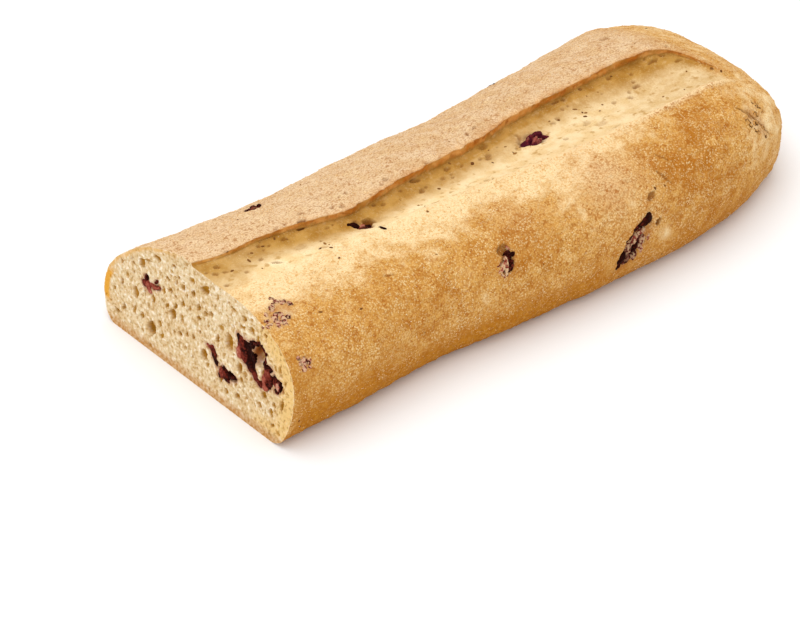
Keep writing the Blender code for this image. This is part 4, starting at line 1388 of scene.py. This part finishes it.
def crust_material():
    """Baked crust: gold to orange-brown, sandy with meal, smoother and paler in the slash."""
    made, tree, shader = new_material("crust")
    where = add(tree, "TexCoord").outputs["Object"]
    floor, lip, low = (attribute(tree, name) for name in ("floor", "lip", "low"))
    blotches = noise_node(tree, where, 0.0055, 3.0)
    patchy = ramp(tree, blotches, 0.35, 0.65)
    speckle = noise_node(tree, where, 0.0014)
    holes = noise_node(tree, where, 0.0026, 3.0)
    baked = math_of(tree, "ADD", scaled(tree, blotches, 1.4, -0.70), attribute(tree, "baked"))
    bare = (scaled(tree, floor, -0.75, 1.0), scaled(tree, low, -0.72, 1.0), scaled(tree, lip, -0.6, 1.0))
    sandy = math_of(tree, "MULTIPLY", *bare)
    light, dark, grains = sand(tree, where, sandy)
    grit = mix(tree, ramp(tree, baked, 0.0, 0.6), (214, 164, 98), (168, 100, 34))
    colour = layered(
        tree,
        side_colour(tree, baked, low, patchy, speckle),
        (floor, slash_colour(tree, patchy, holes)),
        (attribute(tree, "ridge"), (244, 212, 162)),
        (lip, lip_colour(tree, patchy, holes)),
        (scaled(tree, attribute(tree, "dusty"), 0.6), (238, 206, 164)),
        (scaled(tree, dark, 0.85), mix(tree, attribute(tree, "far"), grit, (172, 118, 68))),
        (scaled(tree, light, 0.75), (246, 214, 160)),
        (scaled(tree, attribute(tree, "pocket"), 0.3), (172, 118, 84)),
        # Painted shade in the pits and cracks of the crust
        (attribute(tree, "pit_shade"), (126, 72, 22)),
    )
    height = math_of(tree, "ADD", grains, scaled(tree, speckle, 0.6))
    height = math_of(tree, "MULTIPLY", height, scaled(tree, sandy, 0.8, 0.2))
    set_inputs(tree, shader, {
        "Base Color": colour,
        "Normal": bump(tree, height, 0.8),
        "Roughness": 0.75,
        "Specular IOR Level": 0.04,
    })
    return made


def crumb_material():
    """Crumb: cream with a pink cast, tan in pores, golden towards the crust; painted highlights and shade."""
    made, tree, shader = new_material("crumb")
    where = add(tree, "TexCoord").outputs["Object"]
    patchy = noise_node(tree, where, 0.006)
    fine = noise_node(tree, where, 0.0012, 3.0)
    pale = attribute(tree, "pale")
    dark = attribute(tree, "dark")
    # Painted highlights in fine spots, fewer in the golden band near the crust
    painted_highlight = math_of(tree, "MULTIPLY", ramp(tree, fine, 0.54, 0.68), scaled(tree, pale, -0.75, 0.9))
    foot = mix(tree, ramp(tree, fine, 0.4, 0.6), (190, 136, 76), (208, 168, 122))
    hollow = mix(tree, ramp(tree, patchy, 0.4, 0.6), (192, 142, 52), (174, 122, 34))
    colour = layered(
        tree,
        mix(tree, ramp(tree, patchy, 0.35, 0.65), (228, 204, 164), (220, 190, 144)),
        (scaled(tree, pale, 0.9), (232, 192, 122)),
        # Painted shade in fine spots of the crumb
        (scaled(tree, ramp(tree, fine, 0.50, 0.3), 0.85), (184, 142, 82)),
        (painted_highlight, (246, 232, 208)),
        (attribute(tree, "foot"), foot),
        (attribute(tree, "strip"), (222, 160, 60)),
        (attribute(tree, "pore"), hollow),
        (scaled(tree, attribute(tree, "stain"), 0.6), (164, 96, 70)),
        # Painted shade in the hollows beside the olives, brown to near black
        (ramp(tree, dark, 0.0, 0.5), (150, 84, 34)),
        (ramp(tree, dark, 0.4, 1.0), (48, 12, 4)),
    )
    distance, _ = cells(tree, where, 0.0007)
    height = math_of(tree, "ADD", scaled(tree, distance, 0.4), fine)
    set_inputs(tree, shader, {
        "Base Color": colour,
        "Normal": bump(tree, height, 0.8),
        "Roughness": 0.85,
        "Specular IOR Level": 0.08,
        "Subsurface Weight": 0.12,
        "Subsurface Radius": (0.0012, 0.0008, 0.0005),
        "Subsurface Scale": 1.0,
    })
    return made


def olive_material():
    """Torn olive: near black skin to purple-red and pink flesh, dusted with meal where it is in the crust."""
    made, tree, shader = new_material("olive")
    where = add(tree, "TexCoord").outputs["Object"]
    tone = attribute(tree, "tone")
    blotches = noise_node(tree, where, 0.0018, 3.0)
    fibres = noise_node(tree, where, 0.0006)
    # Fibres lighten the flesh in small spots: partly torn fibres and partly painted highlights
    amount = math_of(tree, "ADD", tone, scaled(tree, blotches, 0.7, -0.35), scaled(tree, fibres, 0.8, -0.40))
    grains = ramp(tree, noise_node(tree, where, 0.0009), 0.42, 0.58)
    wrinkles = mix(tree, ramp(tree, tone, 0.35, 0.8), (96, 60, 22), (200, 148, 84))
    colour = layered(
        tree,
        mix(tree, ramp(tree, amount, 0.05, 0.45), (34, 6, 2), (112, 40, 28)),
        (ramp(tree, amount, 0.40, 0.80), (166, 86, 68)),
        (ramp(tree, amount, 0.75, 1.10), (200, 150, 124)),
        (math_of(tree, "MULTIPLY", attribute(tree, "dust"), grains), (212, 178, 138)),
        (attribute(tree, "brown"), wrinkles),
        (scaled(tree, attribute(tree, "wine"), 0.13), (166, 50, 92)),
    )
    set_inputs(tree, shader, {
        "Base Color": colour,
        "Normal": bump(tree, fibres, 0.7),
        "Roughness": 0.5,
        "Specular IOR Level": 0.025,
    })
    return made


def meal_material():
    """Grains of meal, from golden to nearly white."""
    made, tree, shader = new_material("meal")
    tone = attribute(tree, "tone")
    colour = mix(tree, ramp(tree, tone, 0.1, 0.7), (220, 168, 96), (236, 196, 138))
    colour = mix(tree, ramp(tree, tone, 0.9, 1.0), colour, (246, 224, 188))
    set_inputs(tree, shader, {"Base Color": colour, "Roughness": 0.6})
    return made


def speck_material():
    """Bits of herb and olive, from olive brown to nearly black."""
    made, tree, shader = new_material("speck")
    colour = mix(tree, attribute(tree, "tone"), (92, 48, 16), (156, 108, 50))
    set_inputs(tree, shader, {"Base Color": colour, "Roughness": 0.7, "Specular IOR Level": 0.1})
    return made


# The room as it is built

def aim(made, way):
    """Turns a camera or a light to look along a way."""
    made.rotation_euler = way.to_track_quat("-Z", "Y").to_euler()


def add_camera(shift):
    """The camera, where it stood for the photo."""
    camera = new_object("camera", bpy.data.cameras.new("camera"))
    camera.location = (CAMERA_EYE + Vector(shift)) * MM
    aim(camera, CAMERA_TARGET - CAMERA_EYE)
    camera.data.sensor_width = SENSOR_WIDTH
    camera.data.lens = CAMERA_LENS
    camera.data.clip_start = CLIP_START
    bpy.context.scene.camera = camera


def add_light(name, place, size, power):
    """A round area light at a place, turned to the origin."""
    data = bpy.data.lights.new(name, "AREA")
    data.shape = "DISK"
    data.size = size
    data.energy = power
    light = new_object(name, data)
    light.location = place
    aim(light, -Vector(place))


def add_floor():
    """The white ground that the loaf lies on."""
    bm = bmesh.new()
    bmesh.ops.create_grid(bm, x_segments=1, y_segments=1, size=FLOOR_SIZE / 2)
    data = bpy.data.meshes.new("floor")
    bm.to_mesh(data)
    bm.free()
    material, _, shader = new_material("floor")
    shader.inputs["Base Color"].default_value = FLOOR_COLOUR
    shader.inputs["Roughness"].default_value = 0.9
    data.materials.append(material)
    new_object("floor", data)


def add_sky():
    """An even white sky, and colours shown as they are."""
    world = bpy.data.worlds.new("studio")
    world.use_nodes = True
    background = world.node_tree.nodes["Background"]
    background.inputs["Color"].default_value = SKY_COLOUR
    background.inputs["Strength"].default_value = SKY_STRENGTH
    bpy.context.scene.world = world
    bpy.context.scene.view_settings.view_transform = "Standard"


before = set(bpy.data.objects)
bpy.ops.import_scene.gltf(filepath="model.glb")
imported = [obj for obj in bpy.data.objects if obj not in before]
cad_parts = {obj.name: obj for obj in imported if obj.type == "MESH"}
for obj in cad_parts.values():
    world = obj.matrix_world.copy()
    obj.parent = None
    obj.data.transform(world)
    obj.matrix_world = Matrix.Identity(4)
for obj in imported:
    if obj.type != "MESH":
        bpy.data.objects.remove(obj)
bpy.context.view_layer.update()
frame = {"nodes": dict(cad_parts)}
shift = origin_shift(frame)
add_camera(shift)
add_light("key", **KEY_LIGHT)
add_light("fill", **FILL_LIGHT)
add_floor()
add_sky()
grid, zone, tree, matrices = make_loaf(shift, crust_material(), crumb_material())
make_olives(shift, tree, matrices, olive_material())
make_meal(grid, zone, shift, meal_material())
make_specks(grid, zone, tree, shift, speck_material())
